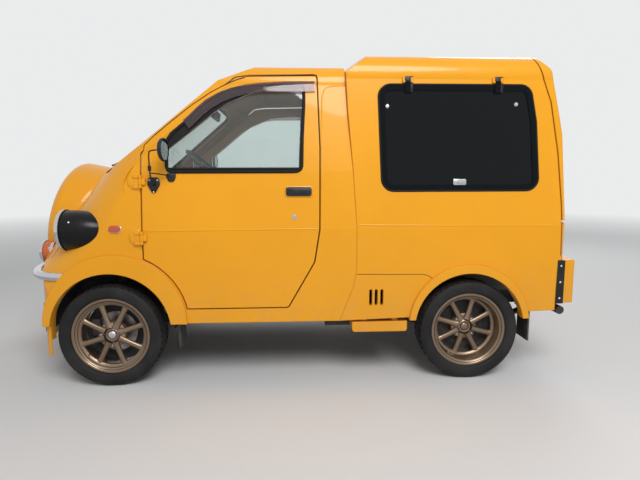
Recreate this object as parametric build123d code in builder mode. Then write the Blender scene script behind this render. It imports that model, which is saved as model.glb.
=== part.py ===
from build123d import *
import math
import os

os.makedirs("parts", exist_ok=True)

# A small enclosed kei truck. Millimetres, X forward, Y to the left, Z up, ground at Z = 0.

# Main dimensions
length = 2885.0
front_end = length / 2
rear_end = -length / 2
front_overhang = 482.5
rear_overhang = 562.5
track = 1100.0
front_axle_x = front_end - front_overhang
rear_axle_x = rear_end + rear_overhang
axle_z = 261.0
half_width = 647.5
cab_wall = 34.0
box_wall = 30.0
panel_gap = 6.0
joint_gap = 0.5
soft_gap = 0.3
far = 5000.0

# Side heights shared by the cab and the cargo box
sill_z = 328.0
skirt_z = 560.0
crease_z = 800.0
belt_z = 1085.0
skirt_y = 634.0
crease_y = 640.0

# Cab cross section
cab_belt_y = 618.0
cab_eave_y = 560.0
cab_eave_z = 1508.0
cab_shoulder_y = 450.0
cab_shoulder_z = 1608.0
cab_crown_z = 1640.0

# Cargo box cross section
box_eave_y = 592.0
box_eave_z = 1535.0
box_shoulder_y = 495.0
box_shoulder_z = 1660.0
box_crown_z = 1692.0

# Curved faces of the cab, each a leaning wall with a bowed front and round corners
# columns: x, z on the middle line, lean from level in degrees, bow radius, corner radius
nose_faces = [
    (front_end - 64.5, 500.0, 90.0, 1985.0, 150.0),
    (front_end - 380.5, 1093.0, 53.3, 1985.0, 300.0),
]
screen_x = front_end - 386.5
screen_z = 1091.0
screen_lean = 38.4
screen_face = (screen_x, screen_z, screen_lean, 2300.0, 110.0)
header_face = (screen_x - 606.0, 1563.0, 20.0, 3000.0, 110.0)

# Curved faces of the cargo box, same columns
box_front_face = (-236.0, 1640.0, 35.0, 3000.0, 60.0)
tail_x = rear_end + 42.5
tail_faces = [
    (tail_x, 500.0, 90.0, 6000.0, 70.0),
    (tail_x, 840.0, 84.5, 6000.0, 70.0),
    (tail_x + 42.0, 1275.0, 77.5, 6000.0, 70.0),
    (tail_x + 108.0, 1590.0, 45.0, 6000.0, 70.0),
]

# Seam between the cab and the cargo box, top to bottom, as x, z
box_seam = [(-222.0, 1750.0), (-240.0, 1388.0), (-266.0, 1100.0), (-285.0, 800.0),
            (-286.0, 595.0), (-272.0, 510.0), (-200.0, sill_z)]
# Seam in front of the rear doors, top to bottom, as x, z
tail_seam = [(tail_x + 228.0, 1760.0), (tail_x + 217.0, 1634.0), (tail_x + 142.0, 1427.0),
             (tail_x + 100.0, 1174.0), (tail_x + 75.0, 913.0), (tail_x + 63.0, 649.0)]
tail_panel_x = tail_x + 74.0
tail_panel_t = 28.0

# Wheel arches
arch_r = 298.0
arch_z = 290.0
front_arch_x = front_axle_x - 16.0
rear_arch_r = 284.0
rear_arch_x = rear_axle_x + 8.0
rear_arch_z = 284.0
flare_r = 352.0
flare_x = front_axle_x - 40.0
flare_z = 330.0
rear_flare_r = 314.0
rear_flare_z = 300.0
flare_depth = 52.0

# Doors
door_front_x = front_end - 676.5
door_skin = 14.0
door_rebate = 10.0
door_hinge_z = [765.0, 1038.0]
door_hinge_x = door_front_x + 2.0
door_hinge_out = 11.0
barrel_r = 8.0
barrel_half = 16.0
pin_r = 6.0
barrel_gap = 0.5

# Cargo floor and rear doors
load_z = 640.0
floor_t = 40.0
gate_bottom_z = 655.0
gate_top_z = 830.0
gate_pin_x = tail_x - 10.0
gate_pin_z = gate_bottom_z - 3.0
hatch_bottom_z = gate_top_z + panel_gap
tail_sill_top = gate_bottom_z - panel_gap
tail_sill_low = 630.0
gate_hinge_y = 170.0
gate_knuckle = 50.0
hatch_pin_x = tail_x + 216.0
hatch_pin_z = 1699.0
hatch_hinge_y = 300.0
hatch_knuckle = 40.0
side_pin_y = 601.0
side_pin_z = 1520.0
side_hinge_x = [-535.0, tail_x + 415.0]
side_knuckle = 28.0
leaf_t = 36.0

# Frame
rail_y = 300.0
rail_w = 50.0
rail_bottom = 330.0
rail_top = 400.0

# Wheels
tyre_r = 261.0
tyre_half = 77.5
bead_r = 178.0
rim_r = 195.0
rim_half = 62.0
flange_t = 4.7
wheel_y = track / 2
kingpin_y = 487.0


def leaning_plane(x, z, lean, way):
    # The normal runs up the leaning face, and local y points into the body
    a = math.radians(lean)
    return Plane(origin=(x, 0, z), x_dir=(0, way, 0), z_dir=(-way * math.cos(a), 0, math.sin(a)))


def bowed_block(face, inset, way):
    # All that lies behind one bowed face, moved in by the inset
    x, z, lean, bow, corner = face
    w = 700.0 - inset
    r = max(corner - inset, 20.0)
    r_bow = bow - inset
    cx = half_width - inset - r
    dy = math.sqrt((r_bow - r) ** 2 - cx ** 2)
    cy = bow - dy
    ux = cx / (r_bow - r)
    uy = -dy / (r_bow - r)
    tx = cx + r * ux
    ty = cy + r * uy
    n = math.hypot(ux + 1, uy)
    mx = cx + r * (ux + 1) / n
    my = cy + r * uy / n
    side = half_width - inset
    with BuildPart() as block:
        with BuildSketch(leaning_plane(x, z, lean, way)):
            with BuildLine():
                ThreePointArc((-tx, ty), (0, inset), (tx, ty))
                ThreePointArc((tx, ty), (mx, my), (side, cy))
                Polyline((side, cy), (w, cy), (w, far), (-w, far), (-w, cy), (-side, cy))
                ThreePointArc((-side, cy), (-mx, my), (-tx, ty))
            make_face()
        extrude(amount=far, both=True)
    return block.part


def section_bar(side, shoulder, crown_z, inset):
    # A long bar with the body's cross section, moved in by the inset
    pts = [(y - inset, z) for y, z in side]
    ey, ez = pts[-1]
    sy, sz = shoulder[0], shoulder[1] - inset
    bulge = 0.17 * math.hypot(ey - sy, sz - ez)
    mid = ((ey + sy) / 2 + bulge, (ez + sz) / 2 + bulge)
    with BuildPart() as bar:
        with BuildSketch(Plane.YZ.offset(-1600)):
            with BuildLine():
                Polyline((-pts[0][0], 150), (pts[0][0], 150), *pts)
                ThreePointArc((ey, ez), mid, (sy, sz))
                ThreePointArc((sy, sz), (0, crown_z - inset), (-sy, sz))
                ThreePointArc((-sy, sz), (-mid[0], mid[1]), (-ey, ez))
                Polyline(*[(-y, z) for y, z in reversed(pts)], (-pts[0][0], 150))
            make_face()
        extrude(amount=3300)
    return bar.part


def cab_form(inset):
    side = [(630.0, sill_z), (skirt_y, skirt_z), (crease_y, crease_z),
            (cab_belt_y, belt_z), (cab_eave_y, cab_eave_z)]
    form = section_bar(side, (cab_shoulder_y, cab_shoulder_z), cab_crown_z, inset)
    for face in nose_faces + [screen_face, header_face]:
        form = form & bowed_block(face, inset, 1)
    return form


def box_form(inset, front_inset):
    side = [(630.0, sill_z), (skirt_y, skirt_z), (crease_y, crease_z), (box_eave_y, box_eave_z)]
    form = section_bar(side, (box_shoulder_y, box_shoulder_z), box_crown_z, inset)
    form = form & bowed_block(box_front_face, inset + front_inset, 1)
    for face in tail_faces:
        form = form & bowed_block(face, inset, -1)
    return form


def side_prism(points, radius, grow, cut=None):
    # A prism right across the body from a side outline in x, z
    with BuildPart() as prism:
        with BuildSketch(Plane.XZ) as outline:
            with BuildLine():
                Polyline(*points, close=True)
            make_face()
            if radius:
                fillet(outline.vertices(), radius)
            if grow:
                offset(amount=grow, kind=Kind.INTERSECTION, mode=Mode.REPLACE)
            if cut:
                with Locations((cut[0], cut[1])):
                    Circle(cut[2], mode=Mode.SUBTRACT)
        extrude(amount=800, both=True)
    return prism.part


def side_plane(y_low, z_low, y_high, z_high):
    # Plane of the left side between two heights: local x runs rearward, local y up the side
    tilt = math.atan2(y_low - y_high, z_high - z_low)
    normal = (0, math.cos(tilt), math.sin(tilt))
    return Plane(origin=(0, y_low, z_low), x_dir=(-1, 0, 0), z_dir=normal)


def on_side(points, z_low, tilt_from):
    y0, z0, y1, z1 = tilt_from
    stretch = math.hypot(y1 - y0, z1 - z0) / (z1 - z0)
    return [(-x, (z - z_low) * stretch) for x, z in points]


def save(shape, name):
    shape.label = name
    export_step(shape, "parts/" + name + ".step")


def mirrored(shape, name):
    other = mirror(shape, about=Plane.XZ)
    save(other, name)
    return other


cab_outer = cab_form(0)
cab_skin = cab_form(door_skin)
cab_inner = cab_form(cab_wall)
box_outer = box_form(0, 0)
box_inner = box_form(box_wall, 0)

# Outlines on the side of the body, as x, z
door_top_z = 1557.0
door_bottom_z = 405.0
door_outline = [(door_front_x - 2, 1172.0), (door_front_x, 700.0), (door_front_x + 4, door_bottom_z),
                (62.0, door_bottom_z), (-71.0, 636.0), (-97.0, 800.0), (-101.0, 1200.0),
                (-88.0, door_top_z), (door_front_x - 522, 1550.0), (door_front_x - 457, 1541.0)]
door_corner_r = 18.0
door_glass_outline = [(door_front_x - 118, 1090.0), (door_front_x - 123, 1192.0),
                      (door_front_x - 404, 1414.0), (door_front_x - 586, 1492.0),
                      (-24.0, 1504.0), (-20.0, 1090.0)]
glass_corner_r = 24.0
hatch_outline = [(-407.0, 985.0), (-385.0, 1510.0), (tail_x + 242.0, 1512.0),
                 (tail_x + 209.0, 1330.0), (tail_x + 189.0, 985.0)]
hatch_corner_r = 62.0
hatch_border = 26.0
hatch_gap = 7.0

# Headlamp pods on the nose
pod_y = 515.0
pod_z = 790.0
pod_front = front_end - 170.5
pod_back = pod_front - 260.0
pod_r = 98.0
rim_len = 26.0
pod_recess = 14.0

# Cab shell
apron_x = door_front_x - 66.0
apron_z = 250.0
cab_side_block = box_seam + [(apron_x, sill_z), (apron_x, apron_z), (front_end + 57.5, apron_z),
                             (front_end + 57.5, 1750.0)]
door_cut = (flare_x, flare_z, flare_r + panel_gap - 1)
screen_plane = leaning_plane(screen_x, screen_z, screen_lean, 1)
screen_low = 45.0
screen_high = 690.0
screen_low_w = 530.0
screen_high_w = 462.0
screen_r = 60.0


def screen_prism(grow):
    # The windscreen outline, seen square to the glass
    a = math.radians(screen_lean)
    out = Plane(origin=(screen_x, 0, screen_z), x_dir=(0, 1, 0), z_dir=(math.sin(a), 0, math.cos(a)))
    with BuildPart() as prism:
        with BuildSketch(out) as outline:
            with BuildLine():
                Polyline((-screen_low_w, screen_low), (screen_low_w, screen_low),
                         (screen_high_w, screen_high), (-screen_high_w, screen_high), close=True)
            make_face()
            fillet(outline.vertices(), screen_r)
            if grow:
                offset(amount=grow, mode=Mode.REPLACE)
        extrude(amount=250, both=True)
    return prism.part


# Nose lid over the spare wheel, a round dish that leans back
lid_lean = 30.7
lid_r = 298.0
lid_z = 885.0
lid_edge_r = 62.0
lid_wall = 22.0
lid_hole_r = 250.0
lid_pin_x = front_end - 366.5
lid_pin_z = 1114.0
lid_a = math.radians(lid_lean)
lid_x = front_end - lid_edge_r + lid_edge_r * math.cos(lid_a) - (lid_r - lid_edge_r) * math.sin(lid_a)
lid_plane = Plane(origin=(lid_x, 0, lid_z), x_dir=(0, 1, 0), z_dir=(math.cos(lid_a), 0, math.sin(lid_a)))
lid_hinge_y = 90.0
lid_knuckle = 36.0
knuckle_end = 16.0


def lid_lug(y, wide, points):
    # One knuckle of the lid's hinge, with its strap given in x, z
    with BuildPart() as lug:
        with Locations((lid_pin_x, y, lid_pin_z)):
            Cylinder(barrel_r, wide, rotation=(90, 0, 0))
        with BuildSketch(Plane.XZ.offset(-y)):
            with BuildLine():
                Polyline(*points, close=True)
            make_face()
        extrude(amount=wide / 2, both=True)
    return lug.part


# Number plate bracket
plate_x = front_end - 30.5
plate_t = 2.0
plate_w = 330.0
plate_h = 165.0
plate_y = 190.0
plate_z = 338.0
plate_foot_x = front_end - 102.5
plate_pitch = 210.0
plate_hole_r = 3.5
plate_holes = [(plate_x, plate_y + side * plate_pitch / 2, plate_z) for side in (-1, 1)]


def arch_cut(x, z, r):
    with BuildPart() as cut:
        with BuildSketch(Plane.XZ):
            with Locations((x, z)):
                Circle(r)
            with Locations((x, z - 150)):
                Rectangle(2 * r, 300)
        extrude(amount=800, both=True)
    return cut.part


def flare_ring(x, z, r, cut, low_z):
    # A raised lip round one arch, on both sides of the body
    with BuildPart() as ring:
        for way in (-1, 1):
            with BuildSketch(Plane.XZ.offset(-way * (half_width - flare_depth))) as lip:
                with Locations((x, z)):
                    Circle(r)
                with Locations((x, low_z - 300)):
                    Rectangle(2 * r + 200, 600, mode=Mode.SUBTRACT)
            extrude(amount=-way * flare_depth)
        add(cut, mode=Mode.SUBTRACT)
    return ring.part


front_cut = arch_cut(front_arch_x, arch_z, arch_r)
rear_cut = arch_cut(rear_arch_x, rear_arch_z, rear_arch_r)
front_flare = flare_ring(flare_x, flare_z, flare_r, front_cut, sill_z)
rear_flare = flare_ring(rear_arch_x, rear_flare_z, rear_flare_r, rear_cut, sill_z)


def hinge_y(z):
    low, high = door_hinge_z
    y_low = crease_y + door_hinge_out
    y_high = cab_belt_y + (belt_z - high) / (belt_z - crease_z) * (crease_y - cab_belt_y) + door_hinge_out
    return y_low + (z - low) / (high - low) * (y_high - y_low)


def hinge_barrel(z, rise, half, reach):
    # One door hinge knuckle with its strap, standing on the leaning hinge line;
    # rise is its place along the line, and reach is the strap's run along x
    low, high = door_hinge_z
    line = (0, hinge_y(high) - hinge_y(low), high - low)
    stand = Plane(origin=(door_hinge_x, hinge_y(z), z), x_dir=(1, 0, 0), z_dir=line)
    with BuildPart() as barrel:
        with Locations((0, 0, rise)):
            Cylinder(barrel_r, 2 * half)
        with Locations((reach / 2, -barrel_r / 2, rise)):
            Box(abs(reach), barrel_r, 2 * half)
        with Locations((0.7 * reach, 1 - door_hinge_out, rise)):
            Box(abs(0.6 * reach), door_hinge_out - 1, 2 * half)
    return stand.location * barrel.part


with BuildPart() as cab_shell:
    add(cab_outer)
    add(side_prism(cab_side_block, 0, 0), mode=Mode.INTERSECT)
    add(cab_inner, mode=Mode.SUBTRACT)
    add(side_prism(door_outline, door_corner_r, panel_gap, door_cut), mode=Mode.SUBTRACT)
    add(screen_prism(0), mode=Mode.SUBTRACT)
    with BuildSketch(lid_plane.offset(-400)):
        Circle(lid_hole_r)
    extrude(amount=500, mode=Mode.SUBTRACT)
    add(front_flare)
    add(front_cut, mode=Mode.SUBTRACT)
    for way in (-1, 1):
        with Locations((pod_front + 50 - pod_recess, way * pod_y, pod_z)):
            Cylinder(pod_r + 12, 100, rotation=(0, 90, 0), mode=Mode.SUBTRACT)
        with Locations((front_axle_x, way * 286, arch_z)):
            Cylinder(312, 572, rotation=(90, 0, 0), mode=Mode.SUBTRACT)
        for z in door_hinge_z:
            for step in (-1, 1):
                piece = hinge_barrel(z, step * (barrel_half + barrel_gap + 8), 8, 36)
                add(piece if way > 0 else mirror(piece, about=Plane.XZ))
        for side in (-1, 1):
            y = way * lid_hinge_y + side * (lid_knuckle + knuckle_end + 2 * joint_gap) / 2
            add(lid_lug(y, knuckle_end, [(lid_pin_x - 7, lid_pin_z + 4), (lid_pin_x + 7, lid_pin_z - 4),
                                         (lid_pin_x - 8, lid_pin_z - 42), (lid_pin_x - 26, lid_pin_z - 28)]))
    # bracket for the number plate, left of the middle
    with Locations(((plate_x + plate_foot_x) / 2, plate_y, plate_z)):
        Box(plate_x - plate_foot_x, plate_pitch + 40, 36)
    with Locations(*plate_holes):
        Cylinder(plate_hole_r, 60, rotation=(0, 90, 0), mode=Mode.SUBTRACT)
save(cab_shell.part, "cab_shell")

with BuildPart() as number_plate:
    with Locations((plate_x + plate_t / 2, plate_y, plate_z - 46)):
        Box(plate_t, plate_w, plate_h)
    with Locations(*plate_holes):
        Cylinder(plate_hole_r, 60, rotation=(0, 90, 0), mode=Mode.SUBTRACT)
save(number_plate.part, "number_plate")

# Doors with their glass
with BuildPart() as door_left:
    add(cab_outer)
    add(side_prism(door_outline, door_corner_r, 0, (flare_x, flare_z, flare_r + panel_gap + 5)),
        mode=Mode.INTERSECT)
    with Locations((300, -1000, 1000)):
        Box(3000, 2600, 3000, mode=Mode.SUBTRACT)
    add(cab_inner, mode=Mode.SUBTRACT)
    add(cab_skin - side_prism(door_outline, door_corner_r, -door_rebate,
                              (flare_x, flare_z, flare_r + panel_gap + 5 + door_rebate)),
        mode=Mode.SUBTRACT)
    add(side_prism(door_glass_outline, glass_corner_r, 0), mode=Mode.SUBTRACT)
    for z in door_hinge_z:
        add(hinge_barrel(z, 0, barrel_half, -24))
save(door_left.part, "door_left")
mirrored(door_left.part, "door_right")

cab_side = (cab_belt_y, belt_z, cab_eave_y, cab_eave_z)
glass_t = 6.0
glass_set = 8.0
with BuildPart() as door_glass_left:
    with BuildSketch(side_plane(*cab_side).offset(-glass_set - glass_t)):
        Rectangle(2400, 1400)
    extrude(amount=glass_t)
    add(side_prism(door_glass_outline, glass_corner_r, -soft_gap), mode=Mode.INTERSECT)
save(door_glass_left.part, "door_glass_left")
mirrored(door_glass_left.part, "door_glass_right")

# Windscreen
with BuildPart() as windscreen:
    add(cab_form(10.0) - cab_form(16.0))
    add(screen_prism(-soft_gap), mode=Mode.INTERSECT)
save(windscreen.part, "windscreen")

# Nose lid
with BuildPart() as nose_lid:
    with BuildSketch(lid_plane):
        Circle(lid_r)
    extrude(amount=-330)
    fillet(nose_lid.faces().sort_by(Axis((0, 0, 0), lid_plane.z_dir))[-1].edges(), lid_edge_r)
    with BuildSketch(lid_plane.offset(-lid_wall)):
        Circle(lid_r - lid_wall)
    extrude(amount=-400, mode=Mode.SUBTRACT)
    add(cab_form(-panel_gap), mode=Mode.SUBTRACT)
    for way in (-1, 1):
        add(lid_lug(way * lid_hinge_y, lid_knuckle,
                    [(lid_pin_x + 4, lid_pin_z + 7), (lid_pin_x + 52, lid_pin_z + 4),
                     (lid_pin_x + 52, lid_pin_z - 20), (lid_pin_x - 4, lid_pin_z - 7)]))
save(nose_lid.part, "nose_lid")

# Cargo box shell
box_side_block = [(x - joint_gap, z) for x, z in box_seam]
box_side_block = box_side_block + [(tail_panel_x, 366.0), (tail_panel_x, tail_sill_low)]
box_side_block = box_side_block + list(reversed(tail_seam))
tail_panel_low = 390.0
tail_sill_mid = (tail_sill_low + tail_sill_top) / 2
tail_sill = Pos(tail_panel_x - 200, 0, tail_sill_mid) * Box(401, 1400, tail_sill_top - tail_sill_low)
vent_x = [-359.0, -387.0, -416.0]
vent_z = 448.0
with BuildPart() as cargo_shell:
    add(box_outer)
    add(side_prism(box_side_block, 0, 0), mode=Mode.INTERSECT)
    add(box_inner & side_prism([(x - box_wall, z) for x, z in box_seam] + [(-2000, 100), (-2000, 1750)], 0, 0),
        mode=Mode.SUBTRACT)
    add(section_bar([(630.0, sill_z), (skirt_y, skirt_z), (crease_y, crease_z),
                     (cab_belt_y, belt_z), (cab_eave_y, cab_eave_z)],
                    (cab_shoulder_y, cab_shoulder_z), cab_crown_z, cab_wall), mode=Mode.SUBTRACT)
    with Locations((tail_panel_x + tail_panel_t / 2, 0, (tail_panel_low + tail_sill_top) / 2)):
        Box(tail_panel_t, 2 * (skirt_y - 32), tail_sill_top - tail_panel_low)
    add(box_outer & tail_sill)
    add(side_prism(hatch_outline, hatch_corner_r, 0), mode=Mode.SUBTRACT)
    add(rear_flare)
    add(rear_cut, mode=Mode.SUBTRACT)
    with BuildSketch(Plane.XZ):
        with Locations(*[(x, vent_z) for x in vent_x]):
            SlotOverall(84, 15, rotation=90)
    extrude(amount=800, both=True, mode=Mode.SUBTRACT)
    for way in (-1, 1):
        # notch and knuckles for the drop gate
        with Locations((gate_pin_x, way * gate_hinge_y, gate_pin_z)):
            Cylinder(barrel_r + 2, gate_knuckle + 4, rotation=(90, 0, 0), mode=Mode.SUBTRACT)
        for side in (-1, 1):
            y = way * gate_hinge_y + side * (gate_knuckle / 2 + joint_gap + 10)
            with Locations((gate_pin_x, y, gate_pin_z)):
                Cylinder(barrel_r, 20, rotation=(90, 0, 0))
            with Locations((tail_x - 1, y, (tail_sill_low + 2 + gate_pin_z) / 2)):
                Box(22, 20, gate_pin_z - tail_sill_low - 2)
        # knuckles for the rear hatch
        for side in (-1, 1):
            y = way * hatch_hinge_y + side * (hatch_knuckle / 2 + joint_gap + 10)
            with Locations((hatch_pin_x, y, hatch_pin_z)):
                Cylinder(pin_r, 20, rotation=(90, 0, 0))
            with Locations((hatch_pin_x + 17, y, hatch_pin_z - 3)):
                Box(34, 20, 12)
            with Locations((hatch_pin_x + 24, y, hatch_pin_z - 17)):
                Box(20, 20, 36)
        # knuckles for the side hatches
        for x in side_hinge_x:
            for side in (-1, 1):
                xx = x + side * (side_knuckle / 2 + joint_gap + 6)
                with Locations((xx, way * side_pin_y, side_pin_z)):
                    Cylinder(pin_r, 12, rotation=(0, 90, 0))
                with Locations((xx, way * (side_pin_y - 6), side_pin_z + 10)):
                    Box(12, 12, 22)
save(cargo_shell.part, "cargo_shell")

# Side hatches: a dark frame with its pane
box_side = (crease_y, crease_z, box_eave_y, box_eave_z)
hatch_frame_t = 20.0
with BuildPart() as side_frame_left:
    with BuildSketch(side_plane(*box_side).offset(-hatch_frame_t + 2)) as outline:
        with BuildLine():
            Polyline(*on_side(hatch_outline, crease_z, box_side), close=True)
        make_face()
        fillet(outline.vertices(), hatch_corner_r)
        offset(amount=-hatch_gap, mode=Mode.REPLACE)
        offset(amount=-hatch_border, mode=Mode.SUBTRACT)
    extrude(amount=hatch_frame_t)
    for x in side_hinge_x:
        with Locations((x, side_pin_y, side_pin_z)):
            Cylinder(pin_r, side_knuckle, rotation=(0, 90, 0))
        with Locations((x, side_pin_y - 1, side_pin_z - 26)):
            Box(side_knuckle, 8, 52)
save(side_frame_left.part, "side_frame_left")
mirrored(side_frame_left.part, "side_frame_right")
with BuildPart() as side_glass_left:
    with BuildSketch(side_plane(*box_side).offset(-8)) as outline:
        with BuildLine():
            Polyline(*on_side(hatch_outline, crease_z, box_side), close=True)
        make_face()
        fillet(outline.vertices(), hatch_corner_r)
        offset(amount=-hatch_gap - hatch_border - soft_gap, mode=Mode.REPLACE)
    extrude(amount=glass_t)
save(side_glass_left.part, "side_glass_left")
mirrored(side_glass_left.part, "side_glass_right")

# Rear hatch, its glass and the drop gate
tail_block = [(x - panel_gap, z) for x, z in tail_seam] + [(-2000, 640), (-2000, 1760)]
rear_window = (860.0, 400.0, 1215.0)
rear_window_r = 50.0


def rear_leaf(low_z, high_z):
    with BuildPart() as leaf:
        add(box_outer)
        add(side_prism(tail_block, 0, 0), mode=Mode.INTERSECT)
        add(box_form(leaf_t, 0), mode=Mode.SUBTRACT)
        with Locations((tail_x + 100, 0, (low_z + high_z) / 2)):
            Box(600, 1600, high_z - low_z, mode=Mode.INTERSECT)
    return leaf.part


def rear_window_prism(grow):
    w, h, z = rear_window
    with BuildPart() as prism:
        with BuildSketch(Plane.YZ) as outline:
            with Locations((0, z)):
                RectangleRounded(w + 2 * grow, h + 2 * grow, rear_window_r)
        extrude(amount=tail_x - 200)
    return prism.part


with BuildPart() as rear_hatch:
    add(rear_leaf(hatch_bottom_z, 1800))
    add(rear_window_prism(0), mode=Mode.SUBTRACT)
    for way in (-1, 1):
        with Locations((hatch_pin_x, way * hatch_hinge_y, hatch_pin_z)):
            Cylinder(pin_r, hatch_knuckle, rotation=(90, 0, 0))
        with Locations((hatch_pin_x - 20, way * hatch_hinge_y, hatch_pin_z - 10)):
            Box(36, hatch_knuckle, 16)
save(rear_hatch.part, "rear_hatch")
with BuildPart() as rear_glass:
    add(box_form(10.0, 0) - box_form(16.0, 0))
    add(rear_window_prism(-soft_gap), mode=Mode.INTERSECT)
save(rear_glass.part, "rear_glass")
with BuildPart() as tailgate:
    add(rear_leaf(gate_bottom_z, gate_top_z))
    # the top edge is an arc about the pin, so it clears the hatch as it drops
    with Locations((gate_pin_x, 0, gate_pin_z)):
        Cylinder(gate_top_z - gate_pin_z, 1400, rotation=(90, 0, 0), mode=Mode.INTERSECT)
    for way in (-1, 1):
        with Locations((gate_pin_x, way * gate_hinge_y, gate_pin_z)):
            Cylinder(barrel_r, gate_knuckle, rotation=(90, 0, 0))
        with Locations((gate_pin_x + 8, way * gate_hinge_y, gate_pin_z + 22)):
            Box(20, gate_knuckle, 40)
save(tailgate.part, "tailgate")

# Floors
trim_clear = cab_wall + soft_gap
cab_floor_inner = cab_form(trim_clear)
floor_z = 400.0
seat_box_top = 600.0
house_y = 330.0
house_r = 312.0
house_t = 8.0
house_out_y = 594.0
firewall_x = front_end - 432.5
dash_top = 1058.0
# both strips of the cab outside the wheel houses' inner walls
side_walls = Box(4000, 1600, 4000) - Box(4000, 2 * (house_y - soft_gap), 4000)
riser_x = 170.0
riser_len = 640.0
riser_w = 1120.0
riser_t = 12.0
firewall_t = 14.0
with BuildPart() as cab_floor:
    with Locations((180, 0, floor_z + 10)):
        Box(760, 1250, 20)
    with Locations((600, 0, floor_z + 10)):
        Box(120, 2 * house_out_y, 20)
    with Locations(((600 + firewall_x) / 2, 0, floor_z + 10)):
        Box(firewall_x - 600 - 2 * soft_gap, 2 * (house_y - soft_gap), 20)
    # riser under the seats, over the engine
    with Locations((riser_x, 0, (floor_z + seat_box_top) / 2)):
        Box(riser_len, riser_w, seat_box_top - floor_z)
    with Locations((riser_x, 0, (floor_z + seat_box_top) / 2 - riser_t)):
        Box(riser_len - 2 * riser_t, riser_w - 2 * riser_t, seat_box_top - floor_z, mode=Mode.SUBTRACT)
    with Locations((riser_x, 0, floor_z)):
        Box(560, 440, 60, mode=Mode.SUBTRACT)
    add(arch_cut(front_axle_x, arch_z, house_r + house_t + soft_gap) & side_walls, mode=Mode.SUBTRACT)
    add(cab_floor_inner, mode=Mode.INTERSECT)
save(cab_floor.part, "cab_floor")
with BuildPart() as wheel_houses:
    for way in (-1, 1):
        with BuildSketch(Plane.XZ.offset(-way * house_y)):
            with Locations((front_axle_x, arch_z)):
                Circle(house_r + house_t)
                Circle(house_r, mode=Mode.SUBTRACT)
            with Locations((front_axle_x, arch_z - 300)):
                Rectangle(900, 600, mode=Mode.SUBTRACT)
        extrude(amount=-way * (house_out_y - house_y))
        with BuildSketch(Plane.XZ.offset(-way * house_y)):
            with Locations((front_axle_x, arch_z)):
                Circle(house_r + house_t)
            with Locations((front_axle_x, floor_z - 300)):
                Rectangle(900, 600, mode=Mode.SUBTRACT)
        extrude(amount=-way * house_t)
    add(cab_floor_inner, mode=Mode.INTERSECT)
save(wheel_houses.part, "wheel_houses")
# the firewall behind the nose bay, with a step over each wheel house
with BuildPart() as firewall:
    with Locations((firewall_x + firewall_t / 2, 0, (floor_z + dash_top) / 2)):
        Box(firewall_t, 2 * house_out_y, dash_top - floor_z)
    add(arch_cut(front_axle_x, arch_z, house_r + house_t + soft_gap) & side_walls, mode=Mode.SUBTRACT)
    add(cab_floor_inner, mode=Mode.INTERSECT)
save(firewall.part, "firewall")

box_floor_front = -212.0
box_floor_rear = tail_panel_x + tail_panel_t + soft_gap
with BuildPart() as cargo_floor:
    with Locations(((box_floor_front + box_floor_rear) / 2, 0, load_z - floor_t / 2)):
        Box(box_floor_front - box_floor_rear, 2 * house_out_y, floor_t)
    for way in (-1, 1):
        with Locations(((box_floor_front + box_floor_rear) / 2, way * rail_y, (rail_top + load_z - floor_t) / 2)):
            Box(box_floor_front - box_floor_rear - 46, 40, load_z - floor_t - rail_top)
    # front wall of the load floor, behind the seats
    with Locations((box_floor_front - 6, 0, load_z - 120)):
        Box(12, 2 * house_out_y, 240)
    add(box_form(box_wall + soft_gap, 0), mode=Mode.INTERSECT)
save(cargo_floor.part, "cargo_floor")

# Chassis rails with cross members and spring hangers
leaf_y = 365.0
leaf_reach = 400.0
leaf_end_z = 306.0
leaf_low_z = 205.0
leaf_spring_t = 14.0
rail_front = front_end - 157.5
rail_rear = tail_panel_x + tail_panel_t + joint_gap
cross_x = [rail_front - 30.0, 560.0, -170.0, -340.0, rail_rear + 23.5]
tube_x = tail_x + 30.0
tube_z = 358.0
tube_r = 22.0
engine_x = 170.0
engine_len = 480.0
engine_w = 380.0
engine_rear = engine_x - engine_len / 2
with BuildPart() as frame_rails:
    for way in (-1, 1):
        with Locations(((rail_front + rail_rear) / 2, way * rail_y, (rail_bottom + rail_top) / 2)):
            Box(rail_front - rail_rear, rail_w, rail_top - rail_bottom)
        with Locations(((rail_rear + tube_x) / 2, way * rail_y, tube_z)):
            Box(rail_rear - tube_x, 30, 26)
        for end in (-1, 1):
            with Locations((rear_axle_x + end * leaf_reach, way * (leaf_y - 5), rail_bottom + 20)):
                Box(44, 70, 60)
        with Locations((engine_x, way * (rail_y - rail_w / 2 + engine_w / 2) / 2, (rail_bottom + rail_top) / 2)):
            Box(70, rail_y - rail_w / 2 - engine_w / 2, 40)
    with Locations(*[(x, 0, (rail_bottom + rail_top) / 2) for x in cross_x]):
        Box(46, 2 * rail_y, rail_top - rail_bottom - 16)
    with Locations((tube_x, 0, tube_z)):
        Cylinder(tube_r, 1210, rotation=(90, 0, 0))
save(frame_rails.part, "frame_rails")

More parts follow.
